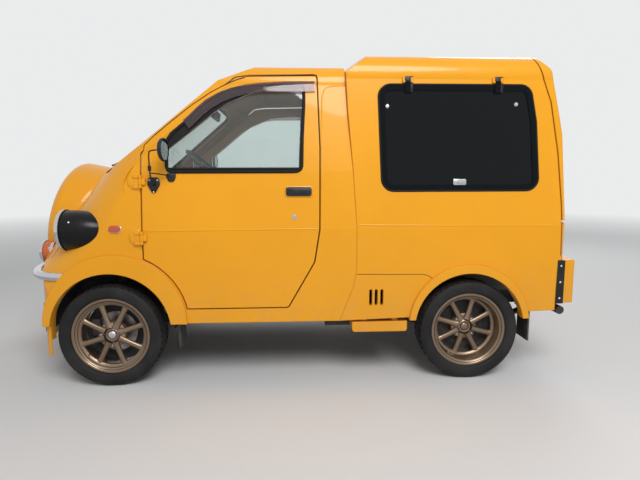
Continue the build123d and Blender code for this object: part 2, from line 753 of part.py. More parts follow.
# Engine under the seats, exhaust and tank
with BuildPart() as engine_block:
    with Locations((engine_x, 0, 395)):
        Box(engine_len, engine_w, 330)
save(engine_block.part, "engine_block")
diff_r = 86.0
shaft_rear = rear_axle_x + diff_r + soft_gap
with BuildPart() as propshaft:
    with Locations(((engine_rear + shaft_rear) / 2, 0, axle_z)):
        Cylinder(26, engine_rear - shaft_rear, rotation=(0, 90, 0))
save(propshaft.part, "propshaft")
tank_x = -290.0
with BuildPart() as fuel_tank:
    with Locations((tank_x, 410, 328)):
        Box(310, 170, 143)
    fillet(fuel_tank.edges().filter_by(Axis.X), 24)
save(fuel_tank.part, "fuel_tank")
exhaust_y = -205.0
exhaust_r = 19.0
exhaust_run = [(engine_rear, 290.0), (rear_axle_x + 360, 290.0), (rear_axle_x + 200, 352.0),
               (rear_axle_x - 120, 352.0), (rear_axle_x - 205, 300.0), (tail_x - 10, 300.0)]
with BuildPart() as exhaust:
    for (xa, za), (xb, zb) in zip(exhaust_run, exhaust_run[1:]):
        with BuildSketch(Plane(origin=(xa, exhaust_y, za), x_dir=(0, 1, 0), z_dir=(xb - xa, 0, zb - za))):
            Circle(exhaust_r)
        extrude(amount=math.hypot(xb - xa, zb - za))
    with Locations(*[(x, exhaust_y, z) for x, z in exhaust_run[1:-1]]):
        Sphere(exhaust_r)
    with Locations((rear_axle_x - 280, exhaust_y, 300)):
        Cylinder(50, 170, rotation=(0, 90, 0))
save(exhaust.part, "exhaust")
with BuildPart() as sill_box:
    with Locations((-409, 560, 291)):
        Box(286, 120, 54)
    fillet(sill_box.edges().filter_by(Axis.Y).group_by(Axis.Z)[0], 14)
    # tabs up the inside of the body side
    with Locations((-330, 594, 340), (-490, 594, 340)):
        Box(30, 11.4, 60)
save(sill_box.part, "sill_box")

# Front suspension: cross member, arms and dampers
arm_low_z = 176.0
arm_high_z = 352.0
arm_t = 18.0
damper_top = 601.4
with BuildPart() as front_suspension:
    with Locations((front_axle_x, 0, 290)):
        Box(90, 2 * rail_y, 80)
    for way in (-1, 1):
        for z, start in ((arm_low_z, 250.0), (arm_high_z, rail_y + rail_w / 2)):
            with BuildSketch(Plane.XY.offset(z - arm_t / 2)):
                with BuildLine():
                    Polyline((front_axle_x - 70, way * start), (front_axle_x + 70, way * start),
                             (front_axle_x + 12, way * kingpin_y), (front_axle_x - 12, way * kingpin_y),
                             close=True)
                make_face()
            extrude(amount=arm_t)
        with Locations((front_axle_x, way * 270, 215)):
            Box(60, 50, 90)
        with Locations((front_axle_x, way * 400, (arm_low_z + damper_top) / 2)):
            Cylinder(19, damper_top - arm_low_z)
save(front_suspension.part, "front_suspension")

# Steering knuckles, calipers, discs
knuckle_low = arm_low_z + arm_t / 2 + joint_gap
knuckle_high = arm_high_z - arm_t / 2 - joint_gap
spindle_r = 16.0
disc_r = 105.0
disc_y = wheel_y - 38.0
disc_t = 10.0
hub_face_y = wheel_y + 4.0
spindle_end = wheel_y - 6.0
with BuildPart() as knuckle_left:
    with Locations((front_axle_x, kingpin_y, (knuckle_low + knuckle_high) / 2)):
        Cylinder(15, knuckle_high - knuckle_low)
    with Locations((front_axle_x, (kingpin_y + spindle_end) / 2, axle_z)):
        Cylinder(spindle_r, spindle_end - kingpin_y, rotation=(90, 0, 0))
    with Locations((front_axle_x + 46, kingpin_y, axle_z + 20)):
        Box(92, 20, 40)
    with Locations((front_axle_x + 98, disc_y, axle_z + 26)):
        Box(40, 50, 84)
    with Locations((front_axle_x, disc_y, axle_z)):
        Cylinder(disc_r + 2, disc_t + 4, rotation=(90, 0, 0), mode=Mode.SUBTRACT)
    with Locations((front_axle_x, (kingpin_y + spindle_end) / 2, axle_z)):
        Cylinder(spindle_r, spindle_end - kingpin_y, rotation=(90, 0, 0))
save(knuckle_left.part, "knuckle_left")
mirrored(knuckle_left.part, "knuckle_right")
with BuildPart() as disc_left:
    with Locations((front_axle_x, disc_y, axle_z)):
        Cylinder(disc_r, disc_t, rotation=(90, 0, 0))
    with Locations((front_axle_x, (disc_y + hub_face_y) / 2, axle_z)):
        Cylinder(34, hub_face_y - disc_y, rotation=(90, 0, 0))
    with Locations((front_axle_x, wheel_y - 40, axle_z)):
        Cylinder(spindle_r + joint_gap, 72, rotation=(90, 0, 0), mode=Mode.SUBTRACT)
save(disc_left.part, "disc_left")
mirrored(disc_left.part, "disc_right")

# Wheels: turned rims with eight spokes
spokes = 8
lug_circle_r = 55.0


def rim_solid(x, first_angle, lug_angle, face_in, hub_back, lip_in):
    # face_in is how far the spoke faces lie inside the wheel's middle plane
    with BuildPart() as rim:
        with BuildSketch(Plane.YZ) as profile:
            with BuildLine():
                Polyline((wheel_y - rim_half, 166), (wheel_y - rim_half, rim_r),
                         (wheel_y - rim_half + flange_t, rim_r), (wheel_y - rim_half + flange_t, bead_r),
                         (wheel_y + rim_half - flange_t, bead_r), (wheel_y + rim_half - flange_t, rim_r),
                         (wheel_y + rim_half, rim_r), (wheel_y + rim_half, bead_r - 2),
                         (face_in + 4, lip_in + 6), (face_in, lip_in), (face_in - 16, lip_in),
                         (face_in - 22, 166), close=True)
            make_face()
        revolve(axis=Axis.Y)
        with BuildSketch(Plane.XZ.offset(-hub_back)):
            Circle(70)
        extrude(amount=-(face_in - 4 - hub_back))
        with BuildSketch(Plane.XZ.offset(-(face_in - 16))):
            with PolarLocations(0, spokes, start_angle=first_angle):
                with Locations((105, 0)):
                    Trapezoid(34, 110, 87, rotation=-90)
        extrude(amount=-14)
        with BuildSketch(Plane.XZ.offset(-hub_back)):
            Circle(24)
        extrude(amount=-90, mode=Mode.SUBTRACT)
        with BuildSketch(Plane.XZ.offset(-(face_in - 14))):
            with PolarLocations(lug_circle_r, 4, start_angle=lug_angle):
                Circle(9)
        extrude(amount=-24)
    return Pos(x, 0, axle_z) * rim.part


front_rim = rim_solid(front_axle_x, 18, 0, wheel_y + 38, hub_face_y + joint_gap, 158)
rear_hub_face = wheel_y - 40.0
rear_rim = rim_solid(rear_axle_x, 28, 45, wheel_y - 2, rear_hub_face + joint_gap, 146)
with BuildPart() as tyre_form:
    with BuildSketch(Plane.YZ) as profile:
        with BuildLine():
            Polyline((wheel_y - 57, bead_r + soft_gap), (wheel_y - 57, rim_r),
                     (wheel_y - 72, 205), (wheel_y - tyre_half, 226), (wheel_y - 73, 246),
                     (wheel_y - 61, 258), (wheel_y - 46, tyre_r), (wheel_y + 46, tyre_r),
                     (wheel_y + 61, 258), (wheel_y + 73, 246), (wheel_y + tyre_half, 226),
                     (wheel_y + 72, 205), (wheel_y + 57, rim_r), (wheel_y + 57, bead_r + soft_gap),
                     close=True)
        make_face()
    revolve(axis=Axis.Y)
for end, x, rim in (("front", front_axle_x, front_rim), ("rear", rear_axle_x, rear_rim)):
    save(rim, "rim_" + end + "_left")
    mirrored(rim, "rim_" + end + "_right")
    tyre = Pos(x, 0, axle_z) * tyre_form.part
    save(tyre, "tyre_" + end + "_left")
    mirrored(tyre, "tyre_" + end + "_right")

# Rear axle, drums and leaf springs
with BuildPart() as rear_axle:
    with Locations((rear_axle_x, 0, axle_z)):
        Cylinder(34, 940, rotation=(90, 0, 0))
        Cylinder(diff_r, 120, rotation=(90, 0, 0))
    for way in (-1, 1):
        with Locations((rear_axle_x, way * 487, axle_z)):
            Cylinder(96, 40, rotation=(90, 0, 0))
        with Locations((rear_axle_x, way * 490, axle_z)):
            Cylinder(23.5, 60, rotation=(90, 0, 0))
        with BuildSketch(Plane.XZ.offset(-way * leaf_y + 25)):
            with BuildLine():
                up = leaf_spring_t
                a = (rear_axle_x - leaf_reach - 18, leaf_end_z)
                b = (rear_axle_x, leaf_low_z)
                c = (rear_axle_x + leaf_reach + 18, leaf_end_z)
                ThreePointArc(a, b, c)
                Line(c, (c[0], c[1] + up - joint_gap))
                ThreePointArc((c[0], c[1] + up - joint_gap), (b[0], b[1] + up), (a[0], a[1] + up - joint_gap))
                Line((a[0], a[1] + up - joint_gap), a)
            make_face()
        extrude(amount=-50)
        with Locations((rear_axle_x, way * leaf_y, leaf_low_z + 30)):
            Box(70, 56, 50)
save(rear_axle.part, "rear_axle")

# Seats: soft, plain
seat_y = [285.0, -285.0]
with BuildPart() as seats:
    with Locations(*[(265, y, seat_box_top + 55) for y in seat_y]):
        Box(440, 440, 110 - 2 * soft_gap)
    fillet(seats.edges().filter_by(Axis.Z), 40)
    with Locations(*[Location((-8, y, 840), (0, -10, 0)) for y in seat_y]):
        Box(90, 440, 470)
save(seats.part, "seats")

# Dashboard with the steering column
wheel_lean = 40.0
steer_x = firewall_x - 410.0
steer_y = -300.0
steer_z = 1118.0
steer_r = 195.0
wl = math.radians(wheel_lean)
steer_plane = Plane(origin=(steer_x, steer_y, steer_z), x_dir=(0, 1, 0), z_dir=(-math.sin(wl), 0, math.cos(wl)))
with BuildPart() as dashboard:
    with BuildSketch(Plane.XZ) as outline:
        with BuildLine():
            Polyline((firewall_x, 860), (firewall_x - 250, 880), (firewall_x - 270, 960),
                     (firewall_x - 220, 1050), (firewall_x, dash_top), close=True)
        make_face()
    extrude(amount=640, both=True)
    add(cab_form(trim_clear + 1), mode=Mode.INTERSECT)
    with BuildSketch(steer_plane.offset(-44.5)):
        Circle(24)
    extrude(amount=-240)
save(dashboard.part, "dashboard")
with BuildPart() as steering_wheel:
    with BuildSketch(Plane(origin=steer_plane.origin, x_dir=(0, 1, 0), z_dir=steer_plane.y_dir)):
        with Locations((steer_r - 12, 0)):
            Circle(12)
    revolve(axis=Axis(steer_plane.origin, steer_plane.z_dir))
    with BuildSketch(steer_plane.offset(-44)):
        Circle(42)
    extrude(amount=40)
    for turn in (0, 120, 240):
        with BuildSketch(steer_plane.offset(-12)):
            with Locations(Rotation(0, 0, turn - 90) * Location((steer_r / 2, 0, 0))):
                Rectangle(steer_r - 30, 26)
        extrude(amount=10)
save(steering_wheel.part, "steering_wheel")

# Lamps on the nose
with BuildPart() as headlamp_pods:
    for way in (-1, 1):
        with BuildSketch(Plane(origin=(0, way * pod_y, pod_z), x_dir=(1, 0, 0), z_dir=(0, -1, 0))):
            with BuildLine():
                Line((pod_back, 0), (pod_front, 0))
                Line((pod_front, 0), (pod_front, pod_r))
                Line((pod_front, pod_r), (pod_front - 40, pod_r))
                ThreePointArc((pod_front - 40, pod_r), (pod_back + 70, pod_r * 0.62), (pod_back, 0))
            make_face()
        revolve(axis=Axis((0, way * pod_y, pod_z), (1, 0, 0)))
    add(cab_outer, mode=Mode.SUBTRACT)
save(headlamp_pods.part, "headlamp_pods")
with BuildPart() as headlamp_rims:
    for way in (-1, 1):
        with Locations((pod_front + rim_len / 2, way * pod_y, pod_z)):
            Cylinder(pod_r + 5, rim_len, rotation=(0, 90, 0))
    fillet(headlamp_rims.edges().group_by(Axis.X)[-1], 10)
    for way in (-1, 1):
        with Locations((pod_front + rim_len / 2, way * pod_y, pod_z)):
            Cylinder(pod_r - 12, rim_len, rotation=(0, 90, 0), mode=Mode.SUBTRACT)
save(headlamp_rims.part, "headlamp_rims")
with BuildPart() as headlamp_lenses:
    for way in (-1, 1):
        with BuildSketch(Plane(origin=(0, way * pod_y, pod_z), x_dir=(1, 0, 0), z_dir=(0, -1, 0))):
            with BuildLine():
                lens_r = pod_r - 12 - soft_gap
                Line((pod_front, 0), (pod_front + 30, 0))
                ThreePointArc((pod_front + 30, 0), (pod_front + 25, lens_r * 0.6), (pod_front + 10, lens_r))
                Polyline((pod_front + 10, lens_r), (pod_front, lens_r), (pod_front, 0))
            make_face()
        revolve(axis=Axis((0, way * pod_y, pod_z), (1, 0, 0)))
save(headlamp_lenses.part, "headlamp_lenses")
with BuildPart() as amber_lamps:
    for way in (-1, 1):
        with Locations((front_end - 132.5, way * 352, 662)):
            Box(104, 84, 84)
        with Locations((front_axle_x - 45, way * 632, 806)):
            Box(56, 36, 30)
    fillet(amber_lamps.edges().filter_by(Axis.X), 8)
    add(cab_outer, mode=Mode.SUBTRACT)
save(amber_lamps.part, "amber_lamps")

# Chrome quarter bumpers and the rear bumper
quarter_z = 569.0
quarter_h = 46.0
quarter_end = front_end - 236.5
quarter_bend = front_end - 58.5
with BuildPart() as front_bumpers:
    with BuildSketch(Plane.XY.offset(quarter_z - quarter_h / 2)):
        for way in (-1, 1):
            with BuildLine():
                ThreePointArc((quarter_end, way * 634), (quarter_bend, way * 522), (front_end, way * 300))
                Line((front_end, way * 300), (front_end - 24, way * 300))
                ThreePointArc((front_end - 24, way * 300), (quarter_bend - 20, way * 508), (quarter_end, way * 612))
                Line((quarter_end, way * 612), (quarter_end, way * 634))
            make_face()
    extrude(amount=quarter_h)
    for way in (-1, 1):
        with Locations((front_end - 72.5, way * 380, quarter_z)):
            Box(100, 34, 26)
    add(cab_outer, mode=Mode.SUBTRACT)
save(front_bumpers.part, "front_bumpers")

bumper_low = 402.0
bumper_high = tail_sill_low - 2.0
bumper_front_x = tail_x + 34.0
lamp_y = 520.0
lamp_z = 520.0
lamp_w = 130.0
lamp_h = 64.0
with BuildPart() as rear_bumper:
    with BuildSketch(Plane.XY.offset(bumper_low)) as plan:
        with BuildLine():
            Polyline((rear_end + 14, -612), (rear_end, -lamp_y), (rear_end, lamp_y), (rear_end + 14, 612),
                     (bumper_front_x, 624), (bumper_front_x, -624), close=True)
        make_face()
    extrude(amount=bumper_high - bumper_low)
    fillet(rear_bumper.edges().group_by(Axis.Z)[-1].sort_by(Axis.X)[0:3], 10)
    for way in (-1, 1):
        with Locations((rear_end + 10, way * lamp_y, lamp_z)):
            Box(36, lamp_w, lamp_h, mode=Mode.SUBTRACT)
        with Locations(((bumper_front_x + tail_panel_x) / 2, way * 420, 500)):
            Box(tail_panel_x - bumper_front_x, 60, 80)
save(rear_bumper.part, "rear_bumper")
with BuildPart() as rear_lamps:
    for way in (-1, 1):
        with Locations((rear_end + 16, way * lamp_y, lamp_z)):
            Box(24, lamp_w - 2 * soft_gap, lamp_h - 2 * soft_gap)
save(rear_lamps.part, "rear_lamps")
with BuildPart() as corner_strips:
    for way in (-1, 1):
        with BuildSketch(Plane.XZ.offset(-way * 610)):
            with BuildLine():
                Polyline((tail_panel_x - soft_gap, tail_sill_low - 1), (bumper_front_x + soft_gap, tail_sill_low - 1),
                         (bumper_front_x + soft_gap, bumper_low), (tail_panel_x - soft_gap, bumper_low), close=True)
            make_face()
        extrude(amount=-way * 26)
save(corner_strips.part, "corner_strips")

# Mudflaps behind all wheels
flap_low = 190.0
flaps = [(front_axle_x - 342, floor_z - soft_gap), (rear_axle_x - 330, load_z - floor_t - soft_gap)]
with BuildPart() as mudflaps:
    for way in (-1, 1):
        for x, top in flaps:
            with Locations((x, way * 532, (flap_low + top) / 2)):
                Box(8, 124, top - flap_low)
save(mudflaps.part, "mudflaps")

# Mirrors on the doors
mirror_rod_r = 6.0
mirror_x = door_front_x - 124.0
with BuildPart() as mirror_left:
    with Locations((mirror_x, 712, 1184)):
        Box(36, 150, 111)
    fillet(mirror_left.faces().sort_by(Axis.Y)[-1].edges(), 8)
    with Locations((mirror_x + 64, 646, 1114)):
        Cylinder(mirror_rod_r, 152)
    with Locations((mirror_x + 33, 646, 1184), (mirror_x + 33, 646, 1083)):
        Cylinder(mirror_rod_r, 62, rotation=(0, 90, 0))
    with Locations((mirror_x + 2, 646, 1107)):
        Cylinder(mirror_rod_r, 60)
    with Locations((mirror_x + 74, 628, 1025)):
        Box(53, 36, 70)
    add(cab_outer, mode=Mode.SUBTRACT)
save(mirror_left.part, "mirror_left")
mirrored(mirror_left.part, "mirror_right")
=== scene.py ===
import math

import bmesh
import bpy
from bpy.props import FloatProperty, FloatVectorProperty, IntProperty, PointerProperty
from mathutils import Matrix, Vector


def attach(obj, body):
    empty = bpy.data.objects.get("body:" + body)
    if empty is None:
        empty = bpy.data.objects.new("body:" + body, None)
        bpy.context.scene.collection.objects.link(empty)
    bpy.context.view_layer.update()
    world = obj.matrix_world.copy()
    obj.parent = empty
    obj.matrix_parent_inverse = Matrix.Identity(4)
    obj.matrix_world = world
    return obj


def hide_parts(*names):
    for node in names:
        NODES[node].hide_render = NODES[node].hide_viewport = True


bl_info = {
    "name": "Kei Truck",
    "version": (1, 0, 0),
    "blender": (4, 5, 0),
    "location": "View3D > Sidebar > Kei Truck",
    "description": "Dresses the packed kei truck with its finishes, wheels, trim, seats and lamps",
    "category": "Object",
}

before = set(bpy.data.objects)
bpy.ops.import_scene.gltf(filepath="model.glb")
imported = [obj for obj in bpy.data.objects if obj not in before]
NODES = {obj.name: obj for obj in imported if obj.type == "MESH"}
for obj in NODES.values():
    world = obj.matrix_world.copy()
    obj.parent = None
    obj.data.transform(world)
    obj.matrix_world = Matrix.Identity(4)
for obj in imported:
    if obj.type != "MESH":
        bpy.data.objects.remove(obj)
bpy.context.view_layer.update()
MM = 0.001

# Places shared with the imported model, in millimetres
FRONT_AXLE_X = 960.0
REAR_AXLE_X = -880.0
AXLE_Z = 261.0
WHEEL_Y = 550.0
SIDES = (("left", 1), ("right", -1))
CAB_SIDE = ((328.0, 630.0), (560.0, 634.0), (800.0, 640.0), (1085.0, 618.0), (1508.0, 560.0))
BOX_SIDE = ((328.0, 630.0), (560.0, 634.0), (800.0, 640.0), (1535.0, 592.0))
HATCH_OUTLINE = ((-407, 985), (-385, 1510), (-1158, 1512), (-1191, 1330), (-1211, 985))
WINDOW_SEAL = ((645, 1196), (641, 1236), (618, 1269), (574, 1306), (529, 1343), (490, 1383), (430, 1430), (371, 1464),
               (296, 1489), (188, 1501), (80, 1504), (-12, 1505), (-23, 1500), (-26, 1486), (-25, 1406), (-16, 1256),
               (-12, 1112), (-7, 1096), (8, 1087), (28, 1085), (618, 1084), (636, 1091), (643, 1108))
WINDOW_BAND = ((640, 1192), (608, 1217), (580, 1239), (540, 1270), (500, 1302), (455, 1338), (404, 1378), (352, 1415),
               (282, 1446), (184, 1487), (80, 1494))
DOOR_LINE = ((770, 560), (766, 700), (764, 1172), (309, 1541), (244, 1550), (-88, 1557), (-101, 1200), (-97, 800),
             (-71, 636), (62, 405), (500, 405))
DOOR_EDGE = ((752, 1186), (749, 1212), (706, 1255), (618, 1329), (519, 1408), (430, 1468), (371, 1500), (335, 1517),
             (300, 1532), (262, 1543))
DOOR_INNER = ((760, 1160), (742, 1182), (698, 1216), (613, 1285), (516, 1364), (430, 1434), (372, 1481), (336, 1508),
              (302, 1533), (262, 1540))
POD_FRONT = 1154.0
POD_PLACE = (565.0, 798.0)
LID_X, LID_Z, LID_R, LID_EDGE, LID_LEAN = 1381.4, 820.0, 345.0, 60.0, 12.0
LID_WALL = (273, 271, 266, 256, 249, 241, 232, 221, 208, 192, 176, 157, 136, 115, 94, 71, 64, 68, 71, 74, 75, 76, 77,
            78, 78)
NOSE_SKIN = ((655, (1338, 1331, 1319, 1302, 1280, 1257)), (680, (1321, 1313, 1300, 1284, 1262, 1238)),
             (705, (1302, 1294, 1282, 1265, 1243, 1220)), (730, (1284, 1275, 1263, 1246, 1224, 1201)),
             (755, (1265, 1257, 1245, 1228, 1206, 1182)), (780, (1246, 1238, 1226, 1209, 1187, 1164)))
SCREEN_LEAN = 38.4
SCREEN_FOOT = (1056.0, 0.0, 1091.0)
SCREEN_BOW = 59.0
LID_PIN = (1076, 1114)
LID_STEPS = 48
BUMPER_Z = 569
TAIL_LAMP_Z = 520
MIRROR_HEAD = (712, 1184)
SEAT_Y = 285
SWELL_STEPS = 20
WHITE = 1.12


# ---------------------------------------------------------------- sizes and colours

class TruckPaint(bpy.types.PropertyGroup):
    body: FloatVectorProperty(name="Body colour", description="Amber yellow of the painted panels",
                              subtype="COLOR", size=3, default=(0.840, 0.352, 0.001), min=0, max=1)
    dust: FloatProperty(name="Dust", description="How much road dust lies on the lower panels",
                        subtype="FACTOR", default=0.22, min=0, max=1)
    edge: FloatProperty(name="Edge rounding", description="How far the pressed edges look rounded",
                        subtype="DISTANCE", default=0.007, min=0, max=0.03)
    wheels: FloatVectorProperty(name="Wheel colour", description="Bronze of the eight-spoke wheels",
                                subtype="COLOR", size=3, default=(0.235, 0.165, 0.110), min=0, max=1)
    seats: FloatVectorProperty(name="Seat cloth", description="Grey of the woven seat cloth",
                               subtype="COLOR", size=3, default=(0.105, 0.105, 0.115), min=0, max=1)


class TruckWheels(bpy.types.PropertyGroup):
    steps: IntProperty(name="Steps", description="Steps round each tyre", default=144, min=48, max=240)
    groove: FloatProperty(name="Groove depth", description="Depth of the tread grooves",
                          subtype="DISTANCE", default=0.0065, min=0.001, max=0.012)
    spokes: IntProperty(name="Spokes", description="Spokes in each wheel", default=8, min=3, max=12)
    spoke_width: FloatProperty(name="Spoke width", description="Width of a spoke at its middle",
                               subtype="DISTANCE", default=0.031, min=0.01, max=0.05)


class TruckTrim(bpy.types.PropertyGroup):
    seal: FloatProperty(name="Seal", description="Radius of the rubber round the door glass",
                        subtype="DISTANCE", default=0.0085, min=0.003, max=0.02)
    screen_seal: FloatProperty(name="Screen seal", description="Radius of the rubber round the windscreen",
                               subtype="DISTANCE", default=0.010, min=0.003, max=0.02)
    bead: FloatProperty(name="Pressed line", description="Radius of the pressed lines in the panels",
                        subtype="DISTANCE", default=0.0035, min=0.001, max=0.01)
    rod: FloatProperty(name="Mirror rod", description="Radius of the mirror rods",
                       subtype="DISTANCE", default=0.0035, min=0.002, max=0.01)


class TruckSeats(bpy.types.PropertyGroup):
    voxel: FloatProperty(name="Voxel", description="Size of the mesh that the seats are swelled on",
                         subtype="DISTANCE", default=0.0075, min=0.004, max=0.02)
    pressure: FloatProperty(name="Pressure", description="Pressure inside the seat covers", default=4.0, min=0, max=12)
    cap: FloatProperty(name="Cap", description="The most that a point of a cushion may move",
                       subtype="DISTANCE", default=0.022, min=0, max=0.04)


class TruckStage(bpy.types.PropertyGroup):
    camera_place: FloatVectorProperty(name="Camera place", description="Where the camera stands",
                                      subtype="XYZ", unit="LENGTH", size=3, default=(0.0146, 2.967, 1.045))
    camera_pitch: FloatProperty(name="Camera pitch", description="How far the camera looks down",
                                subtype="ANGLE", default=0.1272)
    camera_yaw: FloatProperty(name="Camera yaw", description="How far the camera is turned towards the tail",
                              subtype="ANGLE", default=0.0497)
    lens: FloatProperty(name="Lens", description="Focal length on a 36 mm wide frame",
                        default=26.55, min=10, max=200)
    fill: FloatProperty(name="Fill light", description="Strength of the light from all round",
                        default=0.48, min=0, max=2)
    key: FloatProperty(name="Key light", description="Power of the large lamp",
                       default=225.0, min=0, max=2000)
    ground: FloatVectorProperty(name="Ground", description="Colour of the pale floor and backdrop",
                                subtype="COLOR", size=3, default=(0.74, 0.745, 0.75), min=0, max=1)


# ---------------------------------------------------------------- finishes

FINISHES = {}


def feed(mat, socket, value):
    """Links an output to a socket, or sets a value on the socket itself."""
    if hasattr(value, "is_output"):
        mat.node_tree.links.new(value, socket)
    elif socket.type == "RGBA" and len(value) == 3:
        socket.default_value = (*value, 1)
    else:
        socket.default_value = value


def give(mat, made, **inputs):
    """Feeds a node's sockets by name, with _ for a space."""
    for key, value in inputs.items():
        feed(mat, made.inputs[key.replace("_", " ")], value)


def node(mat, kind, **inputs):
    made = mat.node_tree.nodes.new(kind)
    give(mat, made, **inputs)
    return made


def new_finish(name):
    mat = bpy.data.materials.new(name)
    mat.use_nodes = True
    mat.node_tree.nodes.clear()
    shader = node(mat, "ShaderNodeBsdfPrincipled")
    node(mat, "ShaderNodeOutputMaterial", Surface=shader.outputs["BSDF"])
    FINISHES[name] = mat
    return mat, shader


def coords(mat):
    return node(mat, "ShaderNodeTexCoord").outputs["Object"]


def place(mat, stretch=(1, 1, 1)):
    return node(mat, "ShaderNodeMapping", Vector=coords(mat), Scale=stretch).outputs["Vector"]


def noise(mat, scale, detail=3.0, stretch=(1, 1, 1)):
    return node(mat, "ShaderNodeTexNoise", Vector=place(mat, stretch), Scale=scale, Detail=detail,
                Roughness=0.55).outputs["Fac"]


def ramp(mat, fac, low, high, a=0.0, b=1.0):
    return node(mat, "ShaderNodeMapRange", Value=fac, From_Min=low, From_Max=high, To_Min=a, To_Max=b).outputs["Result"]


def mix(mat, fac, one, two):
    made = mat.node_tree.nodes.new("ShaderNodeMix")
    made.data_type = "RGBA"
    for index, value in ((0, fac), (6, one), (7, two)):
        feed(mat, made.inputs[index], value)
    return made.outputs[2]


def combine(mat, kind, one, two):
    made = mat.node_tree.nodes.new("ShaderNodeMath")
    made.operation = kind
    for index, value in ((0, one), (1, two)):
        feed(mat, made.inputs[index], value)
    return made.outputs[0]


def times(mat, one, two):
    return combine(mat, "MULTIPLY", one, two)


def plus(mat, one, two):
    return combine(mat, "ADD", one, two)


def wave(mat, way, scale, distortion):
    made = node(mat, "ShaderNodeTexWave", Vector=place(mat), Scale=scale, Distortion=distortion)
    made.bands_direction = way
    return made.outputs["Fac"]


def shade(color, factor):
    return tuple(min(c * factor, 1.0) for c in color)


def relief(mat, shader, height, strength, distance, rounding=0.0):
    bump = node(mat, "ShaderNodeBump", Height=height, Strength=strength, Distance=distance)
    if rounding:
        soft = node(mat, "ShaderNodeBevel", Radius=rounding)
        soft.samples = 4
        give(mat, bump, Normal=soft.outputs["Normal"])
    give(mat, shader, Normal=bump.outputs["Normal"])


def paint_finish(settings):
    mat, shader = new_finish("amber_paint")
    body = tuple(settings.body)
    color = mix(mat, ramp(mat, noise(mat, 1.7, 4), 0.35, 0.65), shade(body, 0.965), shade(body, 1.03))
    height = node(mat, "ShaderNodeSeparateXYZ", Vector=coords(mat)).outputs["Z"]
    speck = ramp(mat, noise(mat, 14, 6), 0.35, 0.75)
    dust = times(mat, times(mat, ramp(mat, height, 0.62, 0.30), speck), settings.dust)
    dull = plus(mat, dust, times(mat, noise(mat, 5, 5), 0.10))
    give(mat, shader, Base_Color=mix(mat, dust, color, (0.42, 0.30, 0.17)), Coat_Weight=0.30, Coat_Roughness=0.045,
         Roughness=ramp(mat, dull, 0, 0.6, 0.30, 0.62), Specular_IOR_Level=0.30)
    relief(mat, shader, noise(mat, 320, 2), 0.02, 0.0004, settings.edge)


def plain_finish(name, color, rough, metal=0.0, grain=60.0, vary=0.12, bump=0.15, depth=0.0004, coat=0.0,
                 stretch=(1, 1, 1), wear=None, spread=0.10, shine=0.5):
    """One solid finish: colour that varies with a fine noise, with its grain as relief."""
    mat, shader = new_finish(name)
    fine = noise(mat, grain, 5, stretch)
    blend = plus(mat, times(mat, fine, 0.5), times(mat, noise(mat, grain * 0.06, 3, stretch), 0.5))
    tone = mix(mat, ramp(mat, blend, 0.3, 0.7), shade(color, 1 - vary), shade(color, 1 + vary))
    if wear:
        worn = ramp(mat, times(mat, noise(mat, grain * 0.2, 6), noise(mat, 9, 4)), 0.26, 0.40)
        tone = mix(mat, times(mat, worn, 0.6), tone, wear)
    give(mat, shader, Base_Color=tone, Metallic=metal, Specular_IOR_Level=shine,
         Roughness=ramp(mat, blend, 0.3, 0.7, max(rough - spread, 0.02), min(rough + spread, 1.0)))
    if coat:
        give(mat, shader, Coat_Weight=coat, Coat_Roughness=0.06)
    relief(mat, shader, fine, bump, depth)


def glass_finish(name, color, clear, rough=0.01, shine=0.5):
    mat, shader = new_finish(name)
    smear = ramp(mat, noise(mat, 4, 5), 0.3, 0.8)
    give(mat, shader, Base_Color=mix(mat, smear, color, shade(color, 0.94)), Transmission_Weight=clear, IOR=1.46,
         Roughness=ramp(mat, smear, 0, 1, rough, rough + 0.02), Specular_IOR_Level=shine)


def lens_finish(name, color, clear):
    mat, shader = new_finish(name)
    tone = mix(mat, ramp(mat, noise(mat, 40, 3), 0.3, 0.7), shade(color, 0.9), shade(color, 1.08))
    give(mat, shader, Base_Color=tone, Roughness=0.08, Transmission_Weight=clear, Coat_Weight=0.6)
    relief(mat, shader, wave(mat, "Y", 60.0, 0.0), 0.35, 0.0012)


def weave_finish(name, color):
    mat, shader = new_finish(name)
    along_x, along_y, upright = (wave(mat, way, 150.0, 0.6) for way in "XYZ")
    weft = times(mat, along_y, combine(mat, "MAXIMUM", along_x, upright))
    blend = plus(mat, times(mat, weft, 0.6), times(mat, noise(mat, 9, 6), 0.5))
    give(mat, shader, Base_Color=mix(mat, blend, shade(color, 0.55), shade(color, 1.35)), Roughness=0.92,
         Sheen_Weight=0.35)
    relief(mat, shader, weft, 0.6, 0.0008)


def tyre_finish():
    mat, shader = new_finish("tyre_rubber")
    dusty = ramp(mat, noise(mat, 7, 5), 0.42, 0.72)
    give(mat, shader, Base_Color=mix(mat, dusty, (0.012, 0.012, 0.013), (0.034, 0.032, 0.030)),
         Roughness=ramp(mat, dusty, 0, 1, 0.62, 0.88), Specular_IOR_Level=0.25)
    relief(mat, shader, noise(mat, 160, 5), 0.25, 0.0006)


